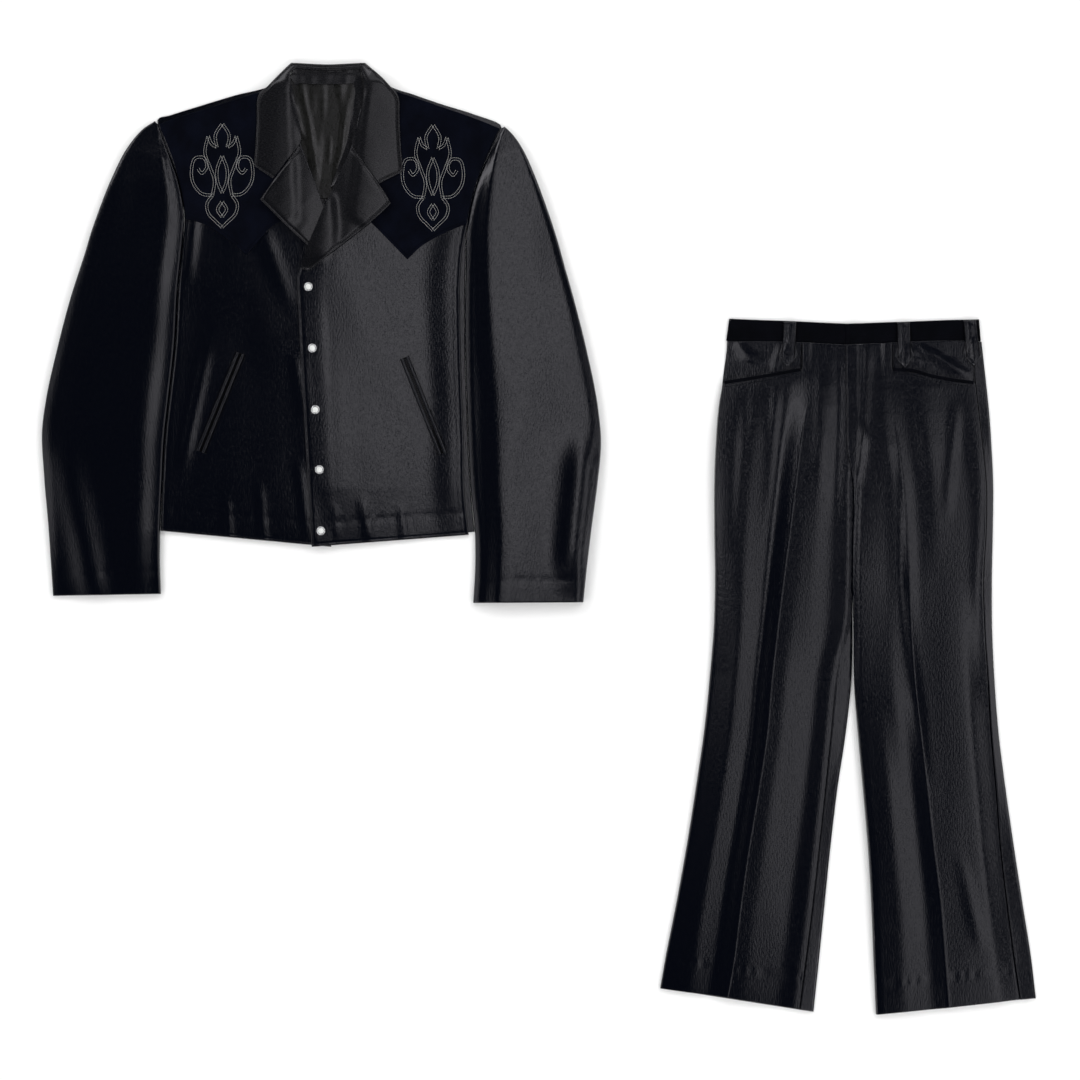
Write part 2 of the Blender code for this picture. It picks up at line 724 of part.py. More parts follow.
def jacket_lapel(side, table, on, laid):
    lapel = Panel(
        f"jacket_lapel_{side}",
        [(row.roll, row.outer) for row in table],
        [row.lift for row in table],
        SATIN,
        laid,
    )
    lapel.on, lapel.inner_steps = on, (ACROSS_LAPEL,)
    lapel.build()


def jacket_collar(laid):
    collar = Panel(
        "jacket_collar",
        [(row.roll, row.fall) for row in COLLAR],
        [row.lift for row in COLLAR],
        SATIN,
        laid,
    )
    collar.on = (
        "jacket_back",
        "jacket_collar_stand",
        "jacket_front_r",
        "jacket_front_l",
        "jacket_yoke_r",
        "jacket_yoke_l",
    )
    collar.inner_steps = (ACROSS_COLLAR,)
    collar.build()


def strip(name, line, near, far, look, on, laid, lift=0.2):
    """A narrow strip beside a line of points, from one distance to another on its left."""
    sections = []
    for k, point in enumerate(line):
        before, after = line[max(0, k - 1)], line[min(len(line) - 1, k + 1)]
        length = span(before, after)
        side = (-(after[1] - before[1]) / length, (after[0] - before[0]) / length)
        sections.append(
            (
                (point[0] + side[0] * near, point[1] + side[1] * near),
                (point[0] + side[0] * far, point[1] + side[1] * far),
            )
        )
    piece = Panel(name, sections, [lift] * len(line), look, laid)
    piece.on, piece.inner_steps, piece.reach = on, (ACROSS_STRIP,), LOOK_ROUND_STRIP
    piece.build()


def jacket_pocket(pocket, laid):
    line = [between(pocket.upper, pocket.lower, k / (LIP_SECTIONS - 1)) for k in range(LIP_SECTIONS)]
    on = (f"jacket_front_{pocket.side}",)
    far = LIP_FROM_MOUTH + LIP_WIDTH
    for place, a, b in (("right", -far, -LIP_FROM_MOUTH), ("left", LIP_FROM_MOUTH, far)):
        name = f"jacket_pocket_{pocket.side}_lip_{place}"
        strip(name, line, a, b, SATIN, on, laid, LIP_LIFT)


def turned(name, profile, place, height, look, at):
    """A round piece, turned from a profile of radius and height."""
    mesh = bmesh.new()
    rings = []
    for radius, z in profile:
        ring = []
        for step in range(SNAP_SIDES):
            turn = math.tau * step / SNAP_SIDES
            ring.append(
                mesh.verts.new(
                    (
                        (place[0] + at[0] + radius * math.cos(turn)) * MM,
                        (place[1] + at[1] + radius * math.sin(turn)) * MM,
                        (height + z) * MM,
                    )
                )
            )
        rings.append(ring)
    closed = profile[0][0] > 1.0
    pairs = list(zip(rings, rings[1:], strict=False))
    if closed:
        pairs.append((rings[-1], rings[0]))
    for low, high in pairs:
        for k in range(SNAP_SIDES):
            n = (k + 1) % SNAP_SIDES
            mesh.faces.new((low[k], low[n], high[n], high[k]))
    if not closed:
        mesh.faces.new(rings[0])
        mesh.faces.new(rings[-1])
    bmesh.ops.recalc_face_normals(mesh, faces=mesh.faces)
    if mesh.calc_volume(signed=True) < 0:
        bmesh.ops.reverse_faces(mesh, faces=mesh.faces)
    finish(name, mesh, look)


def jacket_snaps(laid):
    """Each snap is a metal ring round a domed pearl cap."""
    ring = (
        (SNAP_RING_R, 0.0),
        (SNAP_RING_R, 0.6 * SNAP_RING_H),
        (SNAP_RING_R - 0.6, SNAP_RING_H),
        (SNAP_RING_BORE_R + 0.3, SNAP_RING_H),
        (SNAP_RING_BORE_R, 0.0),
    )
    cap = (
        (0.2 * SNAP_CAP_R, 0.0),
        (SNAP_CAP_R, 0.0),
        (SNAP_CAP_R, 0.4 * SNAP_CAP_H),
        (0.82 * SNAP_CAP_R, 0.78 * SNAP_CAP_H),
        (0.45 * SNAP_CAP_R, 0.97 * SNAP_CAP_H),
        (0.12 * SNAP_CAP_R, SNAP_CAP_H),
    )
    for number, place in enumerate(SNAPS, start=1):
        height = laid.height(*place, ("jacket_front_l",), SNAP_RING_R) + LAY_GAP
        turned(f"jacket_snap_{number}_ring", ring, place, height, STEEL, laid.at)
        turned(f"jacket_snap_{number}_cap", cap, place, height, PEARL, laid.at)


def trouser_back(side, table, rolled_from, laid):
    """A back panel, flat below, with the edge that rolls round to the front side."""
    outer = []
    for i, row in enumerate(table):
        rolled = i >= rolled_from
        fold = shifted(row.fold, UNDER_INSET)
        seam = shifted(row.seam, ROLLED_FOOT)
        high = ROLLED_H if rolled else BACK_CLOTH
        start = shifted(row.seam, ROLLED_START)
        line = [(*between(fold, seam, k / 3), BACK_CLOTH) for k in range(4)]
        line.append((*start, high))
        line.append((*between(start, row.rolled, 0.75), high))
        line.append((*row.rolled, mix(BACK_CLOTH, high, 0.2)))
        outer.append(line)
    inner = [[(x, y, 0.0) for x, y, _ in line] for line in outer]
    panel = Panel(f"trouser_back_{side}", [], [], SATIN, laid)
    panel.register(outer)
    wall_object(panel.name, outer, inner, SATIN, laid.at)


def trouser_front(side, table, on, laid):
    sections = [(row.side, row.crease, row.inner) for row in table]
    front = Panel(f"trouser_front_{side}", sections, [row.lift for row in table], SATIN, laid)
    front.inner_steps = (ACROSS_LEG, ACROSS_LEG)
    front.peak = True
    front.on, front.reach = on, LOOK_ROUND_FRONT
    if side == "r":
        front.column_folds = (True, False)
        front.folds = [(1.0 if i > POCKET_ROW else 0.0, 0.0) for i in range(len(table))]
    else:
        front.column_folds = (False, True)
        front.folds = [(0.0, 1.0 if i > CROTCH_ROW else 0.0) for i in range(len(table))]
    front.build()


def band(name, table, least, on, look, laid, wall=CLOTH):
    piece = Panel(name, [(row.upper, row.lower) for row in table], [0.0] * len(table), look, laid)
    piece.least, piece.on, piece.wall = least, on, wall
    piece.inner_steps = (ACROSS_BAND,)
    piece.build()


def trouser_loops(laid):
    on = (
        "trouser_waistband_r",
        "trouser_waistband_l",
        "trouser_front_r",
        "trouser_front_l",
        "trouser_facing_r",
        "trouser_facing_l",
        "trouser_mouth_r",
        "trouser_mouth_l",
        "trouser_back_l",
    )
    for number, top in enumerate(LOOP_TOPS, start=1):
        sections = []
        for row in LOOP_SHAPE:
            middle = top.x + top.lean * row.down / LOOP_SHAPE[-1].down
            low = top.y - row.down
            sections.append(((middle - row.half, low), (middle + row.half, low)))
        loop = Panel(f"trouser_loop_{number}", sections, [0.2] * len(sections), SATIN, laid)
        loop.on, loop.inner_steps, loop.reach = on, (ACROSS_LOOP,), LOOK_ROUND_LOOP
        loop.build()


def build_jacket():
    laid = Laid(JACKET_AT)
    jacket_back(laid)
    jacket_sleeve("r", SLEEVE_R, laid)
    jacket_sleeve("l", SLEEVE_L, laid)
    jacket_lining(laid)
    jacket_stand(laid)
    jacket_front("r", FRONT_R, ("jacket_lining",), laid)
    jacket_yoke("r", YOKE_R, laid)
    jacket_lapel("r", LAPEL_R, ("jacket_front_r", "jacket_yoke_r"), laid)
    jacket_front("l", FRONT_L, ("jacket_lining", "jacket_front_r", "jacket_lapel_r"), laid)
    jacket_yoke("l", YOKE_L, laid)
    jacket_lapel("l", LAPEL_L, ("jacket_front_l", "jacket_yoke_l"), laid)
    jacket_collar(laid)
    for pocket in JACKET_POCKETS:
        jacket_pocket(pocket, laid)
    jacket_snaps(laid)


def build_trousers():
    laid = Laid(TROUSERS_AT)
    trouser_back("r", BACK_R, ROLLED_FROM_R, laid)
    trouser_back("l", BACK_L, ROLLED_FROM_L, laid)
    band("trouser_waistband_back", WAISTBAND_BACK, 0.0, (), PILE, laid, BACK_CLOTH)
    band("trouser_facing_r", FACING_R, ON_BACK, (), SATIN, laid)
    band("trouser_facing_l", FACING_L, ON_BACK, (), SATIN, laid)
    trouser_front("r", LEG_R, ("trouser_facing_r",), laid)
    trouser_front("l", LEG_L, ("trouser_facing_l", "trouser_front_r"), laid)
    band("trouser_waistband_r", WAISTBAND_R, ON_BACK, (), PILE, laid)
    band("trouser_waistband_l", WAISTBAND_L, ON_BACK, ("trouser_waistband_r",), PILE, laid)
    for side, line in (("r", MOUTH_R), ("l", MOUTH_L)):
        on = (f"trouser_front_{side}", f"trouser_facing_{side}")
        strip(f"trouser_mouth_{side}", line, 0.0, MOUTH_WIDTH, SATIN, on, laid)
    trouser_loops(laid)


clear_scene()
build_jacket()
build_trousers()
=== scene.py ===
"""The looks of a western suit laid flat: cloth with its folds, sewing, snaps, light and camera.

Each piece of cloth is a thin shell drawn through the sections of its panel. It rests on a map of
what is already laid under it, and listed folds raise and lower it. Sizes are in millimetres.
A garment's x runs across it from its centre line and its y up from its lowest hem.
"""

import math
from collections import namedtuple

import bpy
import numpy as np
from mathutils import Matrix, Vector, noise
from mathutils.bvhtree import BVHTree


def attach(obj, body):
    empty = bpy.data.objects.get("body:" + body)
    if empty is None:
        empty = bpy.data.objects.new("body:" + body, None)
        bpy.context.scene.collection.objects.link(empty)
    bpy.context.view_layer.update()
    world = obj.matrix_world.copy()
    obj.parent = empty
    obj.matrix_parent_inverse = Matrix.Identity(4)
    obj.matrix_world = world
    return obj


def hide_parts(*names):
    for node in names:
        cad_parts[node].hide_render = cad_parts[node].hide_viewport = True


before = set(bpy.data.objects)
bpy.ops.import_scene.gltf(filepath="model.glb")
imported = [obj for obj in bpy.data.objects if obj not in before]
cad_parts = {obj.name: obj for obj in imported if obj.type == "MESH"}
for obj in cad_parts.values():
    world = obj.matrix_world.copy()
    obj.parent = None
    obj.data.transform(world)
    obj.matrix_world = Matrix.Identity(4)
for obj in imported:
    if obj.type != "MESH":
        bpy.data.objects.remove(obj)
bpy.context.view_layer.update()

MM = 0.001

# Where each garment's own zero lies on the surface, and how far its height maps reach from there.
JACKET_AT = (-325.25, -12.25)
TROUSERS_AT = (473.75, -713.25)
JACKET_REACH = ((-450, -110), (450, 760))
TROUSERS_REACH = ((-320, -30), (300, 1070))

# Cloth, the gaps between its layers, and the height at which the lowest lies.
CLOTH = 1.3
BACK_CLOTH = 1.5
LINING_CLOTH = 0.9
LIP_CLOTH = 0.8
YOKE_CLOTH = 1.5
LOOP_CLOTH = 1.8
LAY_GAP = 0.35
SEAM_GAP = 0.4
LOWEST = 0.1
ON_BACK = BACK_CLOTH + LAY_GAP

# The fineness of the cloth's mesh and of the maps.
GRID = 4.0
FINE_GRID = 3.0
FINER_GRID = 2.5
LOOP_GRID = 2.0
HIDDEN_GRID = 12.0
MAP_CELL = 2.0

# Rows close together beside a turned edge, a rolled fold and a pressed crease: distances from it.
TURN_STEPS = (0.0, 0.35, 0.9, 1.7, 2.6, 3.4, 4.2, 5.2, 7.0)
FOLD_STEPS = (0.0, 0.3, 0.9, 1.8, 3.0, 4.2, 6.5, 10.0)
PRESS_STEPS = (0.0, 0.7, 1.5, 3.0)

# Edges: the radius of a rolled fold and of a turned edge, how many of its own thicknesses a turned
# edge comes down, what it keeps clear of what is under it, the height of a fold's own edge, and the
# least height of any cloth.
FOLD_RADIUS = 4.0
TURN_RADIUS = 1.4
TURN_DROP = 1.1
TURN_CLEAR = 0.25
FOLD_LOW = 0.5
LEAST_HEIGHT = 0.05

# How far the cloth bridges the edges of what it lies on, and how softly it comes to rest there.
LAY_REACH = 9.0
SMALL_REACH = 4.0
STRIP_REACH = 3.0
EASE = 1.0

# The ridge of a pressed crease, and the dent of the row of stitches beside a worked edge.
PRESS_H = 0.5
PRESS_WIDTH = 1.1
STITCH_DENT = 0.45
STITCH_INSET = 4.0
STITCH_WIDTH = 1.1

# How far the laid cloth stands up where its lift is 1.
SLEEVE_LOFT = 4.6
FRONT_LOFT = 4.8
LAPEL_LOFT = {"r": 5.0, "l": 4.5}
COLLAR_LOFT = 1.3
STAND_LOFT = 1.3
LEG_LOFT = 3.7
ROLLED_LOFT = 3.8
LIP_LOFT = 0.9
MOUTH_LOFT = 0.8
LOOP_LOFT = 1.3

# How far hidden panels stay back from the edges over them, and the stand goes under the collar.
UNDER_INSET = 3.0
STAND_TUCK = 4.0

# In metres: a strip under this width is cut folded double, and its cut is at least this wide.
NARROW = 0.015
NARROWEST = 0.012

# A cuff and a trouser hem: how far in their stitched row lies, how wide it is, how deep it draws the
# cloth in, the share of that which comes and goes, and the waves in which it does.
Hem = namedtuple("Hem", "depth width dent swing wave lean drift")
CUFF = Hem(34.0, 5.0, 0.35, 0.4, 4.1, 2.0, 17.0)
LEG_HEM = Hem(46.0, 6.0, 0.4, 0.5, 3.6, 2.4, 13.0)

# An edge that slopes down plainly: how much at each section, how wide the slope is and how deep.
Bend = namedtuple("Bend", "shares width depth")

# The slopes of the left sleeve's and left front's edges: width, depth.
SLEEVE_BEND = (8.0, 2.4)
FRONT_BEND = (9.0, -0.9)

# Rows of stitches: from one to the next, the share of that which shows, and the thread's radius.
# Then how far a thread sinks in, as a share of its radius, and its rings: place along it and size.
Stitch = namedtuple("Stitch", "pitch share radius")
TOPSTITCH = Stitch(3.2, 0.78, 0.26)
# A fat, almost unbroken row of black thread: painted shadow lines at the jacket's pockets.
POCKET_SHADOW_LINES = Stitch(3.0, 0.95, 0.8)
# The same for the trousers: painted shadow lines at the hip pockets' ends and the loops' edges.
TROUSER_SHADOW_LINES = Stitch(3.0, 0.95, 0.7)
EMBROIDERY = Stitch(2.6, 0.72, 0.28)
STITCH_SINK = 0.4
STITCH_SIDES = 5
STITCH_RINGS = ((0.15, 0.75), (0.5, 1.0), (0.85, 0.75))

# Where the rows lie: beside the lips and mouths of the pockets, on the belt loops, and at the fly.
# The rows in and beside the jacket pockets' mouths, at the hip pockets' ends and along the loops'
# edges are painted shadow lines.
POCKET_STITCH = 2.2
LIP_EDGE = 6.6
MOUTH_SHADOW_OFFSET = 1.2
MOUTH_STITCH = 4.0
LOOP_ARROW = 6.0
LOOP_EDGE = 9.4
LOOP_ARROWS = (36.0, 52.0)
SHADOW_LINE_STEP = 8.0
FLY_STITCHING = ((17, 1002), (17.5, 930), (16, 890), (8, 858), (-6, 838))
POCKET_ENDS = (((-82.5, 1004), (-82.5, 966)), ((-78.8, 1004), (-78.8, 970)), ((58.5, 1004), (58.5, 968)))
POCKET_END_SHADOW_LINES = (((-80.6, 1004), (-80.6, 964)), ((56.6, 1004), (56.6, 965)))


def table(columns, *rows):
    """Rows whose values are called by the names of their columns."""
    row_of = namedtuple("Row", columns)
    return tuple(row_of(*row) for row in rows)


# Sleeves from the shoulder to the cuff: outer fold, inner edge, lift. Then the underarm's row.
SLEEVE_R = table("outer inner lift",
    ((-251, 638.5), (-246, 633), 0.2),
    ((-270, 625.5), (-237, 606), 1),
    ((-294, 595.5), (-226.5, 579), 1.8),
    ((-316.5, 550.5), (-216, 549), 2.2),
    ((-336, 501), (-208, 511.5), 2.2),
    ((-346.5, 471), (-206, 491), 2.2),
    ((-354, 445.5), (-208.5, 460.5), 2.2),
    ((-378, 370.5), (-216, 385.5), 2.3),
    ((-397.5, 295.5), (-220.5, 303), 2.4),
    ((-414, 220.5), (-229.5, 220.5), 2.4),
    ((-420, 172.5), (-235.5, 165), 2.4),
    ((-417, 108), (-239, 103.5), 2.2),
    ((-410, 25.5), (-242.5, 24), 2),
    ((-406.5, -27), (-243, -27), 1.6),
    ((-403.5, -73.5), (-241.5, -70.5), 1.2),
)
SLEEVE_L = table("outer inner lift",
    ((274, 630), (268, 627), 0.2),
    ((285, 619.5), (261, 612), 0.8),
    ((301.5, 595.5), (249, 586), 1.6),
    ((318, 559.5), (237, 558), 2.2),
    ((336, 511.5), (226.5, 526.5), 2.2),
    ((351, 466.5), (218, 484), 2.2),
    ((364.5, 418.5), (215.5, 427.5), 2.2),
    ((378, 370.5), (214.5, 370.5), 2.3),
    ((397.5, 292.5), (215, 288), 2.4),
    ((414, 208.5), (217.5, 205.5), 2.4),
    ((418.5, 157.5), (219.5, 150), 2.4),
    ((413, 93), (223, 85.5), 2.5),
    ((404, 25.5), (229, 22.5), 2.8),
    ((397.5, -30), (229.5, -30), 3.1),
    ((392, -83), (226.5, -84), 3.4),
)
UNDERARM = 5

# Fronts from the shoulder to the hem: edge at the centre front, edge at armhole and side, lift.
FRONT_R = table("centre side lift",
    ((-54, 694.5), (-246, 633), 0.2),
    ((-43.5, 645), (-237, 606), 0.6),
    ((-31.5, 603), (-226.5, 579), 0.9),
    ((-21, 574.5), (-216, 549), 1.1),
    ((-8, 540), (-208, 511.5), 1.2),
    ((2, 511), (-206, 491), 1.3),
    ((9, 478.5), (-208.5, 460.5), 1.4),
    ((1, 390), (-216, 385.5), 1.6),
    ((5, 303), (-220.5, 303), 1.8),
    ((9, 220.5), (-229.5, 220.5), 1.9),
    ((12, 160.5), (-235.5, 165), 1.9),
    ((15, 100.5), (-239, 103.5), 1.6),
    ((14, 0), (-242.5, 24), 0.8),
)
FRONT_L = table("centre side lift",
    ((75, 696), (268, 627), 0.2),
    ((60, 663), (261, 612), 0.6),
    ((46.5, 606), (249, 586), 0.9),
    ((33, 573), (237, 558), 1.1),
    ((18, 540), (226.5, 526.5), 1.2),
    ((6, 514.5), (218, 484), 1.3),
    ((-16.5, 459), (210, 436.5), 1.4),
    ((-37, 403), (207, 382.5), 1.6),
    ((-32, 303), (208.5, 295.5), 1.8),
    ((-27, 213), (211, 213), 1.9),
    ((-24, 157.5), (213, 156), 1.9),
    ((-20, 88.5), (214, 85.5), 1.6),
    ((-15, 0), (220.5, 18), 0.8),
)
LAP_CORNER = 7

# The back above the armholes, from the neck down: left end, right end.
BACK_SHOULDERS = table("left right",
    ((-58, 709), (78, 709)),
    ((-78, 691.5), (100.5, 691.5)),
    ((-130.5, 677), (138, 678)),
    ((-180, 662), (181.5, 663)),
    ((-228, 647), (229.5, 648)),
    ((-247, 640), (267.5, 633)),
)
HEM_DIP = 16.0

# What shows in the neck: lining rows from the neck down, and the stand with the facing beside it.
LINING_ROWS = table("left right",
    ((-57, 703), (75, 703)),
    ((-52.5, 670), (70, 670)),
    ((-48, 633), (60, 633)),
    ((-40.5, 595), (49.5, 595)),
    ((-28.5, 558), (39, 558)),
    ((-13.5, 520), (27, 524)),
)
LINING_PLEAT_X = 6.0
STAND = table("left right",
    ((-45.5, 700.5), (-39, 691.5)),
    ((-39, 715), (-33, 694.5)),
    ((-16.5, 712.5), (-15, 693.5)),
    ((9, 711.5), (9, 693)),
    ((33, 712.5), (32, 693.5)),
    ((55.5, 714), (48, 694.5)),
    ((59.5, 675), (49.5, 678)),
    ((52.5, 640.5), (43.5, 639)),
    ((43, 603), (36.5, 603)),
    ((29.5, 570), (24.5, 570)),
    ((14.5, 540), (12, 538.5)),
)
STAND_CORNERS = (1, 5)

# The collar from the right point round behind the neck to the left point: fall edge, roll edge, lift.
COLLAR = table("fall roll lift",
    ((-101, 570), (-72.5, 551), 0),
    ((-100.5, 583.5), (-50, 581), 0.3),
    ((-99.5, 595.5), (-33.5, 602.5), 0.6),
    ((-97.5, 633), (-31.5, 621), 1),
    ((-94.5, 676.5), (-38, 655.5), 1.2),
    ((-81, 690), (-43.5, 685.5), 1.4),
    ((-64.5, 708), (-47, 709.5), 1.2),
    ((-46.5, 725.5), (-39, 717), 0.8),
    ((-18, 724), (-16.5, 714.5), 0.8),
    ((9, 723), (9, 713.5), 0.8),
    ((34.5, 724), (33, 714.5), 0.8),
    ((64.5, 725.5), (57, 716), 0.8),
    ((87, 706.5), (62.5, 700.5), 1.2),
    ((103.5, 688.5), (62, 675), 1.4),
    ((114.5, 675), (57.5, 648), 1.2),
    ((117, 633), (50.5, 619.5), 1),
    ((119, 595.5), (46, 602.5), 0.6),
    ((120.5, 579), (64.5, 574.5), 0.3),
    ((121.5, 561.5), (86.5, 543.5), 0),
)
COLLAR_CORNERS = (7, 11)

# Lapels from the gorge seam down: outer edge, roll edge, lift.
LAPEL_R = table("outer roll lift",
    ((-72, 548), (-33, 599.5), 0.2),
    ((-82, 533), (-29, 591), 0.5),
    ((-91.5, 519), (-24.5, 580.5), 0.7),
    ((-75, 502.5), (-17, 561), 0.9),
    ((-55.5, 483), (-6.5, 532.5), 1),
    ((-37.5, 466), (2, 510.5), 0.8),
    ((-21, 451), (6.5, 489), 0.4),
    ((-5, 438), (5, 452), 0),
)
LAPEL_L = table("outer roll lift",
    ((87, 541.5), (46, 599.5), 0.2),
    ((96, 527.5), (40, 586.5), 0.5),
    ((104, 513), (34, 573), 0.7),
    ((90, 499.5), (22.5, 547.5), 0.9),
    ((70.5, 482.5), (9, 519), 1),
    ((40.5, 459), (-4.5, 487.5), 0.9),
    ((10.5, 436), (-18, 456), 0.6),
    ((-19.5, 413), (-31.5, 415.5), 0),
)
LAPEL_POINT = 2

# Yokes from the armhole to the neck: shoulder edge, lower edge, bow of the section to the neck.
YOKE_R = table("shoulder lower bow",
    ((-244.5, 633), (-204.5, 491.5), 7),
    ((-225, 640.5), (-189, 487.5), 5),
    ((-202.5, 648), (-171, 481), 3),
    ((-178.5, 655), (-150, 468), 1.5),
    ((-150, 664), (-129, 451.5), 0),
    ((-126, 671.5), (-112.5, 437.5), 0),
    ((-108, 677), (-96, 456), 0),
    ((-90, 682), (-78, 476.5), 0),
    ((-69, 688.5), (-61.5, 487.5), 0),
    ((-56, 692.5), (-45, 495), 0),
)
YOKE_L = table("shoulder lower bow",
    ((266, 627), (216.5, 483.5), -7),
    ((247, 635), (202.5, 478), -5),
    ((223.5, 644), (187.5, 472), -3),
    ((199.5, 652.5), (168, 462), -1.5),
    ((174, 661), (148.5, 450), 0),
    ((153, 668.5), (128, 430.5), 0),
    ((132, 675.5), (110, 449), 0),
    ((114, 681.5), (91.5, 468), 0),
    ((94.5, 688.5), (74, 485), 0),
    ((78, 694.5), (54, 499.5), 0),
)
YOKE_POINT = 5

# Chest pockets of the jacket: upper and lower end of the mouth.
JACKET_POCKETS = table("side upper lower",
    ("r", (-121.5, 289.5), (-181.5, 142.5)),
    ("l", (123.8, 283.5), (180.8, 139.5)),
)
LIP_WIDTH = 4.6
LIP_FROM_MOUTH = 1.8
LIP_SECTIONS = 7
POCKET_STEP = 10.0

SNAPS = ((-19.5, 389), (-13.5, 297), (-9, 205), (-3, 115.5), (-1, 24))
SNAP_RING_R = 6.6
SNAP_BORE_R = 4.9
SNAP_CAP_R = 4.5
SNAP_SINK = 0.1
TURNED_SIDES = 36

# Trouser fronts from the waist seam to the hem: edge at side seam, pressed crease, inner edge, lift.
LEG_R = table("side crease inner lift",
    ((-79.5, 1008), (-60, 1006.9), (1.5, 1003.6), 0.3),
    ((-79.5, 967), (-63, 964.5), (1.5, 961.5), 0.8),
    ((-198.5, 946), (-69, 943.5), (2, 940.5), 1.2),
    ((-204, 913.5), (-73, 913.5), (3, 909), 1.6),
    ((-208.5, 861), (-81, 861), (3, 858), 2),
    ((-211, 801), (-89, 801), (-8.5, 801), 2.3),
    ((-211, 726), (-98, 726), (-10.5, 726), 2.4),
    ((-210, 651), (-108, 651), (-12, 651), 2.4),
    ((-212, 576), (-117, 576), (-18, 579), 2.4),
    ((-217.5, 508.5), (-125, 508.5), (-27, 519), 2.4),
    ((-226, 426), (-133, 418.5), (-36, 418.5), 2.4),
    ((-238, 343.5), (-145, 339), (-44, 339), 2.4),
    ((-253, 249), (-160, 249), (-54, 246), 2.4),
    ((-268.5, 163.5), (-172.5, 160.5), (-64.5, 153), 2.2),
    ((-284, 85.5), (-183, 76.5), (-75, 69), 1.8),
    ((-292, 39), (-192, 25.5), (-83, 7.5), 1.4),
)
LEG_L = table("side crease inner lift",
    ((54.7, 1007.6), (43.5, 1006.9), (-13.5, 1004.6), 0.3),
    ((54.7, 967), (47, 966), (-13.5, 964.5), 0.8),
    ((180, 946), (54, 936), (-13, 933), 1.2),
    ((184.5, 903), (58.5, 898.5), (-12.5, 898.5), 1.6),
    ((190, 852), (64.5, 852), (-12, 849), 2),
    ((195, 798), (71, 798), (-3, 798), 2.3),
    ((195, 726), (76.5, 726), (-3, 726), 2.4),
    ((191, 651), (80, 651), (-3.8, 651), 2.4),
    ((193.5, 576), (83, 576), (-3, 576), 2.4),
    ((199, 501), (88.5, 501), (-2.3, 501), 2.4),
    ((204, 418.5), (97, 426), (3.8, 426), 2.4),
    ((211, 339), (106.5, 343.5), (11.3, 343.5), 2.4),
    ((218, 249), (117, 249), (19.5, 249), 2.4),
    ((228, 163.5), (127.5, 163.5), (24.5, 163.5), 2.2),
    ((238.5, 84), (134, 84), (27.8, 81), 1.8),
    ((247.5, 22.5), (140, 10.5), (31.5, 0), 1.4),
)

# Rows of the trouser fronts: the pocket's lower end, the top of the pressed crease, the crotch,
# and where the legs part.
POCKET_ROW = 2
PRESS_ROW = 4
CROTCH_ROW = 5
PARTING_ROW = 9

# How far the right front laps over the left one from the crotch down. Then the slope of the
# fronts' inner edges: how much of it rows have, its width and its depth.
MEETING = (7.0, 9.0, 9.5, 10.0, 2.0)
INSEAM_BEND = ((3, 0.0), (5, 1.0), (8, 1.0), (9, 0.5))
INSEAM = (9.0, 2.1)

# Trouser backs. Their edge away from the rolled one is that of the front, but at the top: its
# points there, the left one's uppermost point of the seam, and each back's rolled edge, from the
# waist to the hem. The right back rolls out over the front only from one point of it on.
BACK_R_TOP = ((-193.5, 1008.5), (-202, 943.5))
BACK_L_TOP = ((-4.5, 1003.5), (-4.5, 940.5), (-4.5, 898.5), (-4, 858))
SEAM_L_TOP = (178, 1008)
ROLLED_R = (
    (-5.3, 1002.5), (-5.3, 940.5), (-4.6, 858), (-3.6, 801), (-3.6, 726), (-4.4, 651), (-3.6, 576),
    (-5, 508.5), (-14, 418.5), (-26, 339), (-37, 246), (-46.5, 153), (-55, 69), (-62, 4),
)
ROLLED_L = (
    (190, 1008.5), (197, 946), (201.5, 903), (205, 852), (207.5, 798), (207, 726), (205.5, 651),
    (206, 576), (209.5, 501), (216, 418.5), (226, 339), (239, 249), (252, 163.5), (264.5, 84),
    (271.5, 24),
)
ROLLED_FROM_R = 5

# Waistband pieces and hip facings, from the wearer's right to the left: upper edge, lower edge.
WAISTBAND_R = table("upper lower",
    ((-188.5, 1043), (-193, 1010)),
    ((-142, 1041), (-143, 1010)),
    ((-96, 1039.5), (-96, 1009.5)),
    ((-46, 1037), (-46, 1006.5)),
    ((2, 1035), (2, 1004)),
)
WAISTBAND_L = table("upper lower",
    ((-13.5, 1035.5), (-13.5, 1005)),
    ((5, 1036), (5, 1005.5)),
    ((30, 1037), (30, 1006.5)),
    ((87, 1039), (87, 1010)),
    ((140, 1041), (140, 1011)),
    ((186, 1042), (188.5, 1010.5)),
)
WAISTBAND_BACK = table("upper lower",
    ((-187.5, 1042), (-191.5, 1008.9)),
    ((-90, 1038), (-90, 1005.6)),
    ((0, 1035), (0, 1003.9)),
    ((90, 1038), (90, 1006.2)),
    ((186, 1041), (188.5, 1008.9)),
)
FACING_R = table("upper lower",
    ((-191.5, 1009.5), (-195.5, 941)),
    ((-150, 1009.5), (-150, 942)),
    ((-110, 1009.1), (-110, 950)),
    ((-71, 1007.5), (-71, 956)),
)
FACING_L = table("upper lower",
    ((46, 1007), (46, 956)),
    ((80, 1009.1), (80, 956)),
    ((130, 1010.3), (130, 941)),
    ((177, 1010), (177.5, 940)),
)

# Bindings of the hip pocket mouths, their black pile a painted shade of the mouth: points along it.
MOUTH_R = ((-196, 944.5), (-155, 951), (-115, 958), (-81.5, 964))
MOUTH_L = ((57, 964), (85, 963), (112, 955), (145, 948.5), (176.5, 944.5))
MOUTH_WIDTH = 5.0

# Belt loops: distance down from the top, half width.
LOOP_SHAPE = table("down half",
    (0, 10),
    (16, 10),
    (32, 10.6),
    (42, 12.2),
    (50, 14.8),
    (59, 8.6),
    (68, 1),
)
LOOP_LENGTH = LOOP_SHAPE[-1].down
LOOP_CORNERS = (4, 6)

# Middle of each loop's top and how far its point leans to the wearer's left.
LOOP_TOPS = table("x y lean",
    (-97.5, 1038.5, -4),
    (72.5, 1037.5, 1.5),
    (172, 1040.5, 5.5),
)

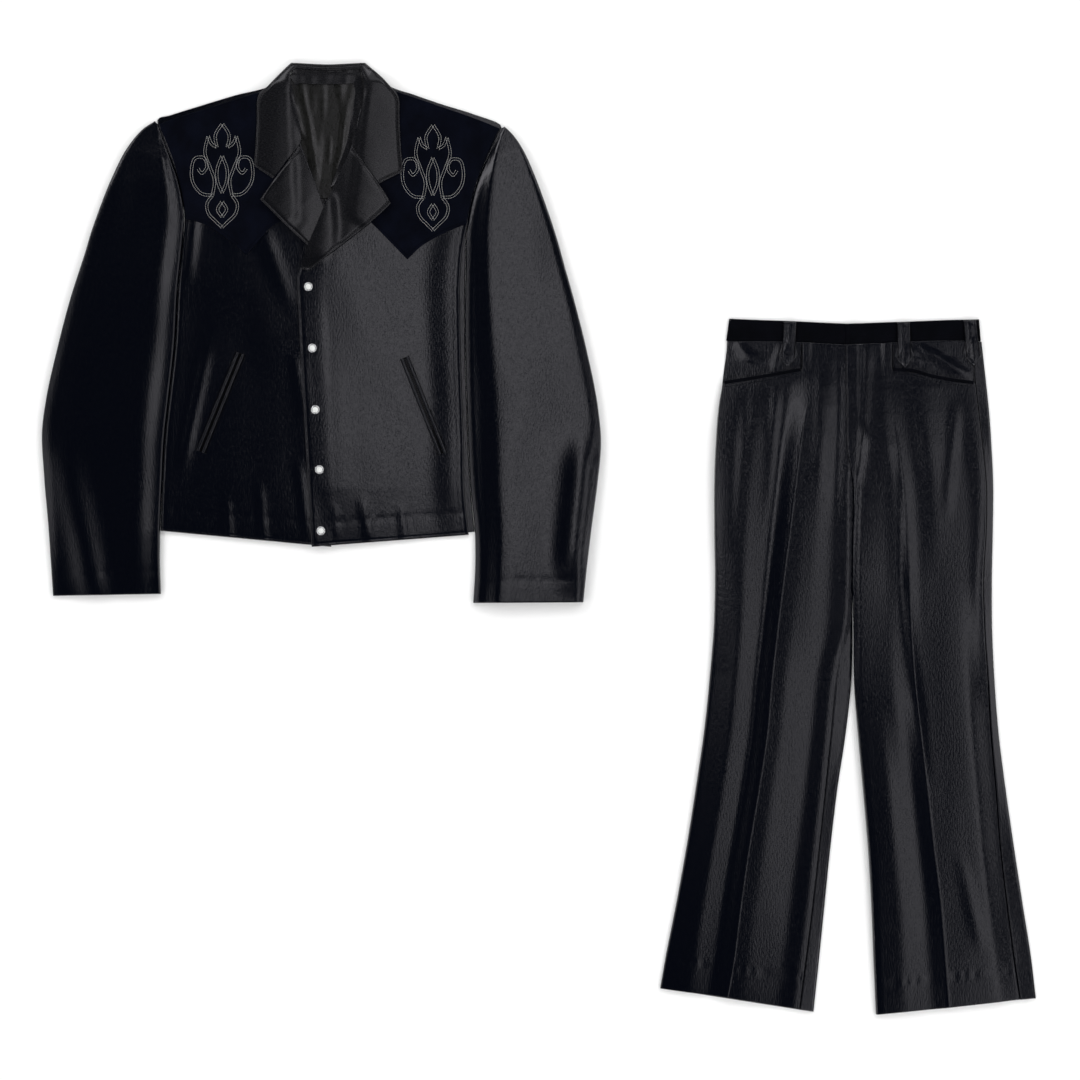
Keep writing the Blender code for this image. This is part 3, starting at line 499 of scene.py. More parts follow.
# A soft ridge or trough between two places: half its width, its height, and the height at its end.
SLEEVE_R_FOLDS = table("start end width height tail",
    ((-388, 160), (-334, -98), 24, 2, 5),
    ((-300, 560), (-330, 420), 22, -1.2, -0.6),
)
SLEEVE_L_FOLDS = table("start end width height tail",
    ((392, 150), (372, -40), 22, 5.4, 5),
    ((290, 560), (330, 380), 24, 0.6, 0.4),
)
FRONT_R_FOLDS = table("start end width height tail",
    ((-190, 500), (-200, 400), 9, 2.2, 0.8),
    ((-86, 468), (-46, 360), 12, 1.9, 0.6),
    ((-172, 290), (-206, 130), 9, 1.4, 1.6),
    ((-142, 70), (-138, 8), 6, 0.8, 1.1),
    ((-92, 90), (-86, 8), 6, 0.6, 1.1),
    ((-40, 280), (-26, 200), 8, 1.1, 0.6),
    ((-34, 120), (-20, 20), 7, 0.9, 0.9),
)
FRONT_L_FOLDS = table("start end width height tail",
    ((30, 420), (150, 160), 30, 1, 0.6),
    ((60, 70), (74, 8), 8, 0.8, 1.2),
    ((120, 60), (124, 8), 7, 0.6, 1),
    ((20, 60), (24, 8), 6, 0.6, 0.9),
)
LINING_FOLDS = table("start end width height tail",
    ((-30, 690), (-6, 560), 5, 1, 0.6),
    ((-44, 660), (-20, 600), 4, 0.8, 0.4),
    ((44, 690), (22, 560), 6, 0.8, 0.8),
    ((24, 640), (12, 550), 4, -0.6, -0.4),
)
LEG_R_FOLDS = table("start end width height tail",
    ((-118, 930), (-130, 760), 8, 1.2, 0.5),
    ((-165, 915), (-180, 700), 9, -1, -0.5),
    ((-52, 960), (-56, 800), 10, 0.7, 0.4),
    ((-24, 981), (-30, 760), 9, -0.8, -0.6),
)
LEG_L_FOLDS = table("start end width height tail",
    ((19, 1003), (10, 876), 9, 1, 0.9),
    ((6, 870), (-4, 786), 11, -1.8, -1.2),
    ((150, 900), (138, 760), 8, 1.2, 0.6),
    ((158, 230), (186, 110), 10, 0.5, 0.9),
)
FACING_R_FOLDS = table("start end width height tail",
    ((-176, 1004), (-150, 975), 8, 1.4, 0.8),
    ((-182, 968), (-130, 972), 6, -1, -0.6),
    ((-112, 1000), (-122, 965), 6, 1, 0.5),
)
FACING_L_FOLDS = table("start end width height tail",
    ((100, 1000), (168, 958), 7, 1.6, 1),
    ((150, 1000), (172, 975), 5, -1, -0.8),
    ((80, 1000), (96, 975), 6, 0.8, 0.6),
)

# How a piece of cloth stands across its section, from the first end to the last: share, height.
SLEEVE_R_RISE = table("share height",
    (0, 0.28), (0.06, 0.48), (0.5, 0.78), (0.78, 1.0), (0.84, 0.98), (0.94, 0.76), (1, 0.75),
)
SLEEVE_L_RISE = table("share height",
    (0, 0.5), (0.06, 0.72), (0.3, 0.76), (0.7, 0.86), (0.78, 0.84), (0.9, 0.45), (1, 0.3),
)
FRONT_R_RISE = table("share height",
    (0, 0.44), (0.04, 0.45), (0.2, 0.48), (0.5, 0.68), (0.86, 0.98), (0.93, 1.0), (1, 0.9),
)
FRONT_L_RISE = table("share height",
    (0, 0.46), (0.085, 0.47), (0.19, 0.26), (0.24, 0.26), (0.5, 0.66), (0.8, 1.14), (0.88, 1.2),
    (1, 1.14),
)
LEG_R_RISE = table("share height",
    (0, 0.15), (0.03, 0.35), (0.2, 0.6), (0.38, 0.13), (0.485, 0.92), (0.5, 0.95), (0.52, 0.92),
    (0.6, 0.86), (0.85, 0.24), (0.96, 0.3), (1, 0.3),
)
LEG_R_HIP_RISE = table("share height",
    (0, 0.98), (0.03, 1.0), (0.13, 0.93), (0.385, 0.1), (0.49, 0.85), (0.51, 0.87), (0.7, 0.85),
    (0.81, 0.62), (0.9, 0.64), (1, 0.62),
)
WAIST_RISE = table("share height", (0.0, 0.5), (0.5, 0.6), (1.0, 0.5))
LEG_L_HIP_RISE = table("share height",
    (0, 0.7), (0.03, 0.78), (0.11, 0.58), (0.19, 0.6), (0.31, 0.86), (0.33, 0.86), (0.42, 0.66),
    (0.45, 0.68), (0.6, 1.04), (0.8, 0.94), (1, 0.8),
)
LEG_L_KNEE_RISE = table("share height",
    (0, 0.65), (0.03, 0.88), (0.08, 0.8), (0.175, 0.84), (0.4, 0.86), (0.45, 0.87), (0.49, 1.05),
    (0.5, 1.06), (0.57, 0.67), (0.7, 0.7), (0.96, 0.93), (1, 0.92),
)
LEG_L_CALF_RISE = table("share height",
    (0, 0.05), (0.14, 0.82), (0.2, 0.86), (0.46, 0.84), (0.5, 0.66), (0.53, 0.62), (0.68, 0.87),
    (0.8, 0.84), (1, 0.8),
)
LEG_L_RISE = table("share height",
    (0, 0.05), (0.14, 0.82), (0.2, 0.86), (0.31, 0.86), (0.5, 0.83), (0.52, 0.8), (0.6, 0.62),
    (0.62, 0.62), (0.8, 0.95), (0.96, 0.82), (1, 0.82),
)
COLLAR_RISE = table("share height",
    (0, 0.8), (0.1, 1.0), (0.5, 0.8), (0.9, 0.5), (1, 0.3),
)
LAPEL_RISE = table("share height",
    (0, 0.2), (0.1, 0.3), (0.5, 0.7), (0.9, 1.0), (1, 0.96),
)
PILLOW_RISE = table("share height",
    (0, 0.0), (0.15, 0.7), (0.5, 1.0), (0.85, 0.7), (1, 0.0),
)
LEVEL_RISE = table("share height", (0.0, 1.0), (1.0, 1.0))
SLOPE_RISE = table("share height", (0, 1), (1, 0))

# A rise's corners are softened by its values at these offsets, each with its weight.
RISE_SOFTENING = ((-0.03, 1), (-0.015, 2), (0, 3), (0.015, 2), (0.03, 1))

# Ripples of the jacket's sleeves and fronts: length across, length along, height.
JACKET_RIPPLES = {"r": (55.0, 110.0, 0.9), "l": (55.0, 110.0, 0.6)}

# One half of the yoke's stitched figure, a tulip between two scrolls, in shares of its box.
# The other half is its mirror.
TULIP = (
    ((0.50, 0.00), (0.40, 0.06), (0.29, 0.13), (0.26, 0.22), (0.35, 0.31)),
    ((0.35, 0.31), (0.20, 0.32), (0.06, 0.41), (0.02, 0.55), (0.09, 0.67), (0.21, 0.67), (0.26, 0.58),
     (0.18, 0.52), (0.12, 0.57)),
    ((0.35, 0.31), (0.38, 0.45), (0.31, 0.58), (0.23, 0.72), (0.28, 0.88)),
    ((0.28, 0.88), (0.34, 0.80), (0.42, 0.77)),
    ((0.42, 0.77), (0.39, 0.88), (0.50, 1.00)),
    ((0.50, 0.33), (0.43, 0.44), (0.42, 0.55), (0.50, 0.69)),
    ((0.50, 0.10), (0.43, 0.17), (0.50, 0.25)),
)
TULIP_R = ((-197, 478), (-101, 634))
TULIP_L = ((119, 474), (214, 632))
ROW_GAP = 1.8

# Materials: dark and light colour, then roughness and shine, and for satin its grain's depth and size.
SATIN = ((0.0001, 0.0005, 0.0020), (0.0006, 0.0012, 0.0034), 0.18, 0.35, 0.14, 0.82)
COLLAR_SATIN = ((0.0010, 0.0012, 0.0020), (0.0018, 0.0020, 0.0030), 0.25, 0.32, 0.03, 0.45)
LINING_SATIN = ((0.0020, 0.0021, 0.0017), (0.0042, 0.0044, 0.0035), 0.27, 0.36, 0.03, 1.0)
NAVY_PILE = ((0.0003, 0.0006, 0.0024), (0.0010, 0.0016, 0.0050))
BLACK_PILE = ((0.0002, 0.0003, 0.0009), (0.0007, 0.0008, 0.0020))
# The black thread draws the topstitching and also the painted shadow lines.
BLACK_THREAD = ((0.0006, 0.0006, 0.0010), (0.0015, 0.0015, 0.0020), 0.85, 0.03)
SILVER_THREAD = ((0.30, 0.30, 0.30), (0.72, 0.72, 0.70), 0.5, 0.4)
PEARL = ((0.80, 0.78, 0.73), (0.62, 0.66, 0.68))
METAL = ((0.62, 0.62, 0.63), (0.46, 0.46, 0.48))
FLOOR = ((0.90, 0.90, 0.90), (0.88, 0.88, 0.88))

# How large their grain is across and along the cloth, in metres.
SATIN_FINE = (0.0014, 0.0050)
SATIN_COARSE = (0.0027, 0.0080)
PILE_MARKS = (0.028, 0.036)
PILE_HAIRS = (0.0012, 0.0015)
THREAD_TWIST = (0.0006, 0.0004)
PEARL_CLOUD = (0.0025, 0.0018)
METAL_BRUSHING = (0.0004, 0.0030)

# In metres: the camera, the floor, and the panels of light.
CAMERA_AT = (0.0015, -0.0020, 3.825)
CAMERA_LENS = 85.0
CAMERA_SENSOR = 36.0
FLOOR_HALF = 6.0
SKY_GLOW = 0.02
MIDDLE = (0.0, 0.0, 0.0)
PANELS = table("name place faces width depth glow",
    ("key", (1.7, -0.7, 3.3), (1.7, -0.7, 0.0), 0.8, 2.8, 1.9),
    ("second", (0.0, 1.07, 3.3), (0.0, 1.07, 0.0), 0.6, 2.46, 2.8),
    ("left", (-3.3, 0.0, 1.7), MIDDLE, 1.6, 3.2, 1.4),
    ("right", (3.7, 0.0, 1.7), MIDDLE, 1.6, 3.2, 2.0),
    ("head", (0.0, 3.4, 1.8), MIDDLE, 3.2, 1.6, 1.4),
    ("foot", (0.0, -3.4, 1.8), MIDDLE, 3.2, 1.6, 1.4),
    ("left head", (-2.8, 2.8, 2.6), MIDDLE, 3.8, 1.6, 4.4),
    ("left foot", (-2.8, -2.8, 2.6), MIDDLE, 3.8, 1.6, 4.4),
    ("right head", (2.8, 2.8, 2.6), MIDDLE, 3.8, 1.6, 4.4),
    ("right foot", (2.8, -2.8, 2.6), MIDDLE, 3.8, 1.6, 4.4),
)


def mix(a, b, share):
    return a + (b - a) * share


def between(a, b, share):
    return (mix(a[0], b[0], share), mix(a[1], b[1], share))


def span(a, b):
    return math.hypot(b[0] - a[0], b[1] - a[1])


def shifted(point, dx, dy=0.0):
    return (point[0] + dx, point[1] + dy)


def rise_at(rise, share):
    """A section's height at shares of the way across it, with its corners softened."""
    shares, heights = zip(*rise)
    total = 0.0
    weights = 0.0
    for offset, weight in RISE_SOFTENING:
        total = total + weight * np.interp(np.clip(share + offset, 0, 1), shares, heights)
        weights += weight
    return total / weights


def rise_along(rises, where, share):
    """Heights from tables that each hold at one section's number."""
    numbers = [number for number, rise in rises]
    total = 0.0
    for k, (number, rise) in enumerate(rises):
        weight = np.interp(where, numbers, np.eye(len(rises))[k])[:, None]
        total = total + weight * rise_at(rise, share)
    return total


class Maps:
    """Height maps of the pieces laid on one garment, and their faces for what is sewn on them."""

    def __init__(self, at, reach):
        self.at = at
        self.low = np.array(reach[0], float)
        self.size = tuple(int((reach[1][k] - reach[0][k]) / MAP_CELL) + 1 for k in (0, 1))
        self.maps = {}
        self.trees = {}

    def add(self, name, points):
        """Notes a grid of upper points, as a map and as faces."""
        dense = points
        for axis in (0, 0, 1, 1):
            dense = self.denser(dense, axis)
        cells = np.rint((dense[..., :2] - self.low) / MAP_CELL).astype(int)
        cells = np.clip(cells, 0, np.array(self.size) - 1)
        grid = np.zeros(self.size)
        np.maximum.at(grid, (cells[..., 0].ravel(), cells[..., 1].ravel()), dense[..., 2].ravel())
        self.maps[name] = grid
        faces = grid_faces(*points.shape[:2])
        self.trees[name] = BVHTree.FromPolygons(points.reshape(-1, 3).tolist(), faces)

    @staticmethod
    def denser(points, axis):
        a = np.take(points, range(points.shape[axis] - 1), axis)
        b = np.take(points, range(1, points.shape[axis]), axis)
        both = np.stack([a, (a + b) / 2], axis + 1)
        shape = list(points.shape)
        shape[axis] = 2 * (shape[axis] - 1)
        last = np.take(points, [points.shape[axis] - 1], axis)
        return np.concatenate([both.reshape(shape), last], axis)

    def under(self, names, x, y, reach):
        """How high the named pieces stand under spots, with their edges widened and eased."""
        found = [self.maps[name] for name in names if name in self.maps]
        if not found:
            return np.zeros(np.shape(x))
        top = np.maximum.reduce(found)
        cells = max(1, int(round(reach / MAP_CELL)))
        for axis in (0, 1):
            wide = top.copy()
            for step in range(1, cells + 1):
                wide = np.maximum(wide, np.roll(top, step, axis))
                wide = np.maximum(wide, np.roll(top, -step, axis))
            top = wide
        half = max(1, cells // 2)
        for axis in (0, 0, 1, 1):
            total = np.zeros_like(top)
            for step in range(-half, half + 1):
                total += np.roll(top, step, axis)
            top = total / (2 * half + 1)
        return self.sample(top, x, y)

    def sample(self, grid, x, y):
        u = np.clip((x - self.low[0]) / MAP_CELL, 0, self.size[0] - 1.001)
        v = np.clip((y - self.low[1]) / MAP_CELL, 0, self.size[1] - 1.001)
        i, j = u.astype(int), v.astype(int)
        fu, fv = u - i, v - j
        low = mix(grid[i, j], grid[i, j + 1], fv)
        high = mix(grid[i + 1, j], grid[i + 1, j + 1], fv)
        return mix(low, high, fu)

    def top_at(self, x, y, names):
        """The highest of the named pieces at one spot."""
        best = 0.0
        for name in names:
            hit = self.trees[name].ray_cast(Vector((x, y, 100.0)), Vector((0, 0, -1)))
            if hit[0] is not None:
                best = max(best, hit[0].z)
        return best


def grid_faces(rows, cols):
    faces = []
    for i in range(rows - 1):
        for a in range(i * cols, i * cols + cols - 1):
            faces.append((a, a + 1, a + 1 + cols, a + cols))
    return faces


def along_rows(keys, steps_first, steps_last, spacing):
    """Places along the sections of a piece: section number and share for each fine row."""
    places = []
    last = len(keys) - 2
    for i in range(last + 1):
        length = max(np.linalg.norm(keys[i + 1] - keys[i], axis=1).max(), 0.5)
        inner = max(1, int(math.ceil(length / spacing)))
        shares = {k / inner for k in range(inner)}
        if i == 0:
            shares |= {d / length for d in steps_first if d < 0.4 * length}
        if i == last:
            shares |= {1 - d / length for d in steps_last if d < 0.4 * length}
            shares.add(1.0)
        places += [(i, share) for share in sorted(shares)]
    return places


def smooth_rows(keys, corners, places):
    """Points at each fine row, on a smooth curve that turns sharply at corner sections."""
    count = len(keys)
    lengths = [max(np.linalg.norm(b - a, axis=1).mean(), 0.5) for a, b in zip(keys, keys[1:])]
    ways = [(b - a) / length for a, b, length in zip(keys, keys[1:], lengths)]
    slopes_in, slopes_out = [], []
    for i in range(count):
        before = ways[max(i - 1, 0)]
        after = ways[min(i, count - 2)]
        if i not in corners and 0 < i < count - 1:
            near, far = lengths[i - 1], lengths[i]
            before = after = (before * far + after * near) / (near + far)
        slopes_in.append(before)
        slopes_out.append(after)
    rows = []
    for i, t in places:
        rows.append(
            (2 * t**3 - 3 * t**2 + 1) * keys[i]
            + (t**3 - 2 * t**2 + t) * slopes_out[i] * lengths[i]
            + (3 * t**2 - 2 * t**3) * keys[i + 1]
            + (t**3 - t**2) * slopes_in[i + 1] * lengths[i]
        )
    return np.array(rows)


def near_edge(length, steps):
    """Distances from an edge of every row, drawn together where the row is short."""
    spots = [0 * length]
    for k, step in enumerate(steps[1:], start=1):
        spots.append(np.minimum(step, 0.3 * length * (k + 1) / len(steps)))
    return spots


def across_places(length, steps_a, steps_b, inner):
    """Distances along one stretch of every row, closer together at an edge that is worked."""
    near_a = near_edge(length, steps_a)
    near_b = [length - spot for spot in near_edge(length, steps_b)][::-1]
    middle = [mix(near_a[-1], near_b[0], k / inner) for k in range(1, inner)]
    return np.stack(near_a + middle + near_b, axis=1)


def roundness(distance, radius):
    """How much of its height a worked edge has at a distance from its end."""
    t = np.clip(distance / radius, 0, 1)
    return np.sqrt(1 - (1 - t) ** 2)


def eased(t):
    return (3 - 2 * t) * t**2


def relief(folds, x, y):
    """The height that the listed folds add."""
    total = np.zeros_like(x)
    for fold in folds:
        length = span(fold.start, fold.end)
        ux = (fold.end[0] - fold.start[0]) / length
        uy = (fold.end[1] - fold.start[1]) / length
        dx, dy = x - fold.start[0], y - fold.start[1]
        off = dy * ux - dx * uy
        t = (dx * ux + dy * uy) / length
        ease = 0.5 * fold.width / length + 0.18
        rise_in = np.clip((t + ease) / (2 * ease), 0, 1)
        rise_out = np.clip((1 + ease - t) / (2 * ease), 0, 1)
        height = mix(fold.height, fold.tail, np.clip(t, 0, 1))
        total += height * eased(rise_in) * eased(rise_out) * np.exp(-((off / fold.width) ** 2))
    return total


def ripple(x, y, name, across, along, height):
    """Slight unevenness, longer along the cloth than across it, and of each piece its own."""
    seed = 3.7 * sum(map(ord, name)) % 97
    flat = [noise.noise(Vector((a / across, b / along, seed))) for a, b in zip(x.flat, y.flat)]
    return height * np.array(flat).reshape(x.shape)


def puckers(hem, x, from_last):
    """A hem, held by a row of stitches that draws the cloth in a little."""
    row = np.exp(-(((from_last - hem.depth) / hem.width) ** 2))
    wave = 1 - hem.swing + hem.swing * np.sin(x / hem.wave + hem.lean * np.sin(x / hem.drift))
    return -hem.dent * row * wave


def down_rows(values, where):
    """A value that each section has, at the fine rows between them."""
    if values is None:
        return 0.0
    return np.interp(where, range(len(values)), values)[:, None]


def bend_down(bend, where, distance):
    """How much an edge slopes down, and how deep it comes."""
    if bend is None:
        return 0.0, 0.0
    share = down_rows(bend.shares, where)
    return share, share * bend.depth * np.clip(1 - distance / bend.width, 0, 1)


class Cloth:
    """One piece of cloth, drawn through its sections and laid on what is under it.

    A section runs from the piece's edge a to its edge b. The first and the last section are its
    other two edges.
    """

    rise = LEVEL_RISE
    rises = ()
    lifts = None
    corners = ()
    on = ()
    reach = LAY_REACH
    least = ON_BACK
    wall = CLOTH
    rim_a = rim_b = None
    fold_a = fold_b = None
    bend_a = bend_b = None
    turn_a = turn_b = turn_first = turn_last = True
    press = None
    fold_radius = FOLD_RADIUS
    turn_radius = TURN_RADIUS
    folds = ()
    bows = None
    ripples = (30.0, 120.0, 0.5)
    grain = 0.0
    spacing = GRID
    hem = None
    loose = False
    stitched = False

    def __init__(self, name, sections, maps, **settings):
        self.name = name
        self.sections = np.array(sections, float)
        self.maps = maps
        for key, value in settings.items():
            setattr(self, key, value)

    def build(self, look):
        """Lays the piece: its points seen from above, their heights, and the shell through them."""
        steps_first = TURN_STEPS if self.turn_first else ()
        steps_last = TURN_STEPS if self.turn_last else ()
        places = along_rows(self.sections, steps_first, steps_last, self.spacing)
        rows = smooth_rows(self.sections, self.corners, places)
        where = np.array([i + share for i, share in places])
        x, y, share, from_a, width = self.spread(rows)
        from_b = width - from_a
        if self.bows is not None:
            x = x + down_rows(self.bows, where) * 4 * share * (1 - share)
        step = np.hypot(np.diff(x, axis=0), np.diff(y, axis=0))
        from_first = np.concatenate([np.zeros((1, x.shape[1])), np.cumsum(step, axis=0)], 0)
        edges = {"a": from_a, "b": from_b, "first": from_first, "last": from_first[-1:] - from_first}
        base = np.maximum(self.least, self.maps.under(self.on, x, y, self.reach) + LAY_GAP)
        raised = self.raised(rows, where, x, y, share, edges)
        bent_a, drop_a = bend_down(self.bend_a, where, from_a)
        bent_b, drop_b = bend_down(self.bend_b, where, from_b)
        z = self.rested(base, raised - drop_a - drop_b)
        if self.stitched:
            for distance in self.turned(edges).values():
                z = z - STITCH_DENT * np.exp(-(((distance - STITCH_INSET) / STITCH_WIDTH) ** 2))
        fold_a, fold_b = down_rows(self.fold_a, where), down_rows(self.fold_b, where)
        rim_a = base + LAY_GAP if self.rim_a is None else self.rim_a
        rim_b = rim_a if self.rim_b is None else self.rim_b
        radius = np.minimum(self.fold_radius, 0.35 * width)
        z = mix(z, rim_a, fold_a * (1 - roundness(from_a, radius)))
        z = mix(z, rim_b, fold_b * (1 - roundness(from_b, radius)))
        rolled = {"a": np.maximum(fold_a, bent_a), "b": np.maximum(fold_b, bent_b)}
        turn = np.zeros_like(z)
        turn_radius = min(self.turn_radius, 0.3 * float(width.max()))
        for edge, distance in self.turned(edges).items():
            turn = np.maximum(turn, (1 - roundness(distance, turn_radius)) * (1 - rolled.get(edge, 0.0)))
        foot = np.minimum(z, np.maximum(base + TURN_CLEAR, z - self.wall * TURN_DROP))
        z = mix(z, foot, turn)
        upper = np.stack([x, y, z], axis=2)
        lower = np.stack([x, y, np.minimum(z, np.maximum(z - self.wall, LEAST_HEIGHT))], axis=2)
        self.maps.add(self.name, upper)
        return shell(f"{self.name}_cloth", upper, lower, LOOKS[look], self.maps.at, self.grain)

    def turned(self, edges):
        """The distances from those edges whose cloth is turned under."""
        return {edge: edges[edge] for edge in edges if getattr(self, f"turn_{edge}")}

    def spread(self, rows):
        """Points along every fine row: x, y, share of the way, and distance from edge a; and widths."""
        last = rows.shape[1] - 2
        parts = []
        done = np.zeros(len(rows))
        for k in range(last + 1):
            a, b = rows[:, k], rows[:, k + 1]
            length = np.maximum(np.linalg.norm(b - a, axis=1), 0.05)
            crease = PRESS_STEPS if self.press else ()
            steps_a = (FOLD_STEPS if self.fold_a else TURN_STEPS) if k == 0 else crease
            steps_b = (FOLD_STEPS if self.fold_b else TURN_STEPS) if k == last else crease
            inner = max(2, int(math.ceil(length.max() / self.spacing)))
            spots = across_places(length, steps_a, steps_b, inner)[:, min(k, 1):]
            share = spots / length[:, None]
            x = mix(a[:, :1], b[:, :1], share)
            y = mix(a[:, 1:], b[:, 1:], share)
            parts.append((x, y, (k + share) / (last + 1), done[:, None] + spots))
            done = done + length
        return *(np.concatenate(part, 1) for part in zip(*parts)), done[:, None]

    def raised(self, rows, where, x, y, share, edges):
        """How far the cloth stands up of itself."""
        raised = relief(self.folds, x, y)
        if self.lifts is not None:
            rises = self.rises or ((0, self.rise),)
            raised = raised + down_rows(self.lifts, where) * rise_along(rises, where, share)
        if self.ripples:
            raised = raised + ripple(x, y, self.name, *self.ripples)
        if self.hem:
            raised = raised + puckers(self.hem, x, edges["last"])
        if self.press:
            crease = np.linalg.norm(rows[:, 1] - rows[:, 0], axis=1)[:, None]
            ridge = np.exp(-np.abs(edges["a"] - crease) / PRESS_WIDTH)
            raised = raised + down_rows(self.press, where) * ridge
        return raised

    def rested(self, base, raised):
        """Heights of the cloth that stands up from what is under it, or hangs loosely over it."""
        if not self.loose:
            return base + self.wall + np.maximum(raised, 0.0)
        own = self.least + self.wall + raised
        rested = base + self.wall
        return 0.5 * (own + rested + np.sqrt((own - rested) ** 2 + EASE**2))


def shell(name, upper, lower, look, at, grain):
    """A closed thin shell from its upper and lower grids of points."""
    rows, cols = upper.shape[:2]
    total = rows * cols
    points = np.concatenate([upper.reshape(-1, 3), lower.reshape(-1, 3)])
    faces = grid_faces(rows, cols)
    faces += [(d + total, c + total, b + total, a + total) for a, b, c, d in faces]
    rim = [i * cols for i in range(rows)]
    rim += [(rows - 1) * cols + j for j in range(1, cols)]
    rim += [i * cols + cols - 1 for i in range(rows - 2, -1, -1)]
    rim += [j for j in range(cols - 2, 0, -1)]
    for a, b in zip(rim, rim[1:] + rim[:1]):
        faces.append((a, b, b + total, a + total))
    return mesh_object(name, points, faces, look, at, grain)


def signed_volume(points, faces):
    total = 0.0
    for sides in {len(face) for face in faces}:
        corners = points[np.array([face for face in faces if len(face) == sides])]
        for k in range(1, sides - 1):
            cross = np.cross(corners[:, k], corners[:, k + 1])
            total += float((corners[:, 0] * cross).sum())
    return total


def mesh_object(name, points, faces, look, at, grain=0.0, sharp=60):
    """A mesh in the row frame, its faces turned outwards, with the cloth's grain as its map."""
    points = np.asarray(points, float)
    placed = (points + (at[0], at[1], 0.0)) * MM
    if signed_volume(points, faces) < 0:
        faces = [face[::-1] for face in faces]
    data = bpy.data.meshes.new(name)
    data.from_pydata(placed.tolist(), [], faces)
    data.update()
    turn = math.radians(grain)
    u = points[:, 0] * math.cos(turn) + points[:, 1] * math.sin(turn)
    v = points[:, 1] * math.cos(turn) - points[:, 0] * math.sin(turn)
    layer = data.uv_layers.new(name="cloth")
    index = np.empty(len(data.loops), np.int32)
    data.loops.foreach_get("vertex_index", index)
    uv = np.stack([u[index], v[index]], axis=1) * MM
    layer.data.foreach_set("uv", uv.astype(np.float32).ravel())
    data.shade_smooth()
    data.set_sharp_from_angle(angle=math.radians(sharp))
    data.materials.append(look)
    obj = bpy.data.objects.new(name, data)
    bpy.context.scene.collection.objects.link(obj)
    return obj


class Look:
    """A node material. Inputs that are sockets are linked, and others are set."""

    def __init__(self, name):
        self.material = bpy.data.materials.new(name)
        self.material.use_nodes = True
        self.nodes = self.material.node_tree.nodes
        self.links = self.material.node_tree.links

    def fill(self, node, inputs):
        for key, value in inputs.items():
            if isinstance(value, bpy.types.NodeSocket):
                self.links.new(value, node.inputs[key])
            else:
                node.inputs[key].default_value = value

    def node(self, kind, inputs=None, **settings):
        node = self.nodes.new(kind)
        for key, value in settings.items():
            setattr(node, key, value)
        self.fill(node, inputs or {})
        return node

    def stretched(self, across, along, size=1.0):
        """The cloth's own coordinates, so that one step of a texture is across by along metres."""
        source = self.node("ShaderNodeUVMap", uv_map="cloth")
        scale = (1 / (across * size), 1 / (along * size), 1.0)
        return self.node("ShaderNodeMapping", {"Vector": source.outputs[0], "Scale": scale}).outputs[0]

    def noise(self, vector, detail=2.0, roughness=0.5):
        inputs = {"Vector": vector, "Scale": 1.0, "Detail": detail, "Roughness": roughness}
        return self.node("ShaderNodeTexNoise", inputs).outputs["Fac"]

    def spread(self, value, low, high, to_low, to_high):
        inputs = {"Value": value, "From Min": low, "From Max": high, "To Min": to_low, "To Max": to_high}
        return self.node("ShaderNodeMapRange", inputs).outputs["Result"]

    def blend(self, share, first, second):
        node = self.node("ShaderNodeMix", data_type="RGBA")
        self.fill(node, {0: share, 6: (*first, 1.0), 7: (*second, 1.0)})
        return node.outputs[2]

    def bump(self, height, strength, distance, **normal):
        inputs = {"Height": height, "Strength": strength, "Distance": distance, **normal}
        return self.node("ShaderNodeBump", inputs).outputs["Normal"]

    def shade(self, **inputs):
        """Fills the shader, whose inputs are named here with _ for a space."""
        named = {key.replace("_", " "): value for key, value in inputs.items()}
        self.fill(self.nodes["Principled BSDF"], named)
        return self.material


def satin_look(name, dark, light, roughness, specular, grain, pitch):
    """Lustrous cloth with a fine broken grain along its length."""
    look = Look(name)
    fine = look.noise(look.stretched(*SATIN_FINE, pitch), 3.0, 0.6)
    coarse = look.noise(look.stretched(*SATIN_COARSE, pitch))
    weave = look.spread(fine, 0.3, 0.7, 0.0, 1.0)
    normal = look.bump(fine, grain, 0.0005)
    tangent = look.node("ShaderNodeTangent", direction_type="UV_MAP", uv_map="cloth")
    return look.shade(
        Base_Color=look.blend(weave, dark, light),
        Roughness=look.spread(coarse, 0.2, 0.8, 0.8 * roughness, 1.3 * roughness),
        Specular_IOR_Level=specular,
        Specular_Tint=(0.96, 0.94, 1.0, 1.0),
        Anisotropic=0.3,
        Anisotropic_Rotation=0.25,
        Tangent=tangent.outputs[0],
        Normal=look.bump(coarse, 2.0 * grain, 0.0007, Normal=normal),
    )


def pile_look(name, dark, light):
    """Matt brushed cloth, with the marks that a hand leaves in its pile."""
    look = Look(name)
    marks = look.noise(look.stretched(*PILE_MARKS), 4.0, 0.6)
    hairs = look.noise(look.stretched(*PILE_HAIRS), 3.0, 0.7)
    share = look.spread(marks, 0.38, 0.66, 0.0, 1.0)
    return look.shade(
        Base_Color=look.blend(share, dark, light),
        Roughness=0.93,
        Specular_IOR_Level=0.05,
        Sheen_Weight=0.02,
        Sheen_Roughness=0.5,
        Sheen_Tint=(0.45, 0.55, 1.0, 1.0),
        Normal=look.bump(marks, 0.25, 0.0010, Normal=look.bump(hairs, 0.5, 0.0006)),
    )


def thread_look(name, dark, light, roughness, specular):
    """Twisted thread."""
    look = Look(name)
    twist = look.noise(look.stretched(*THREAD_TWIST), 2.0, 0.6)
    return look.shade(
        Base_Color=look.blend(twist, dark, light),
        Roughness=roughness,
        Specular_IOR_Level=specular,
        Normal=look.bump(twist, 0.5, 0.0002),
    )


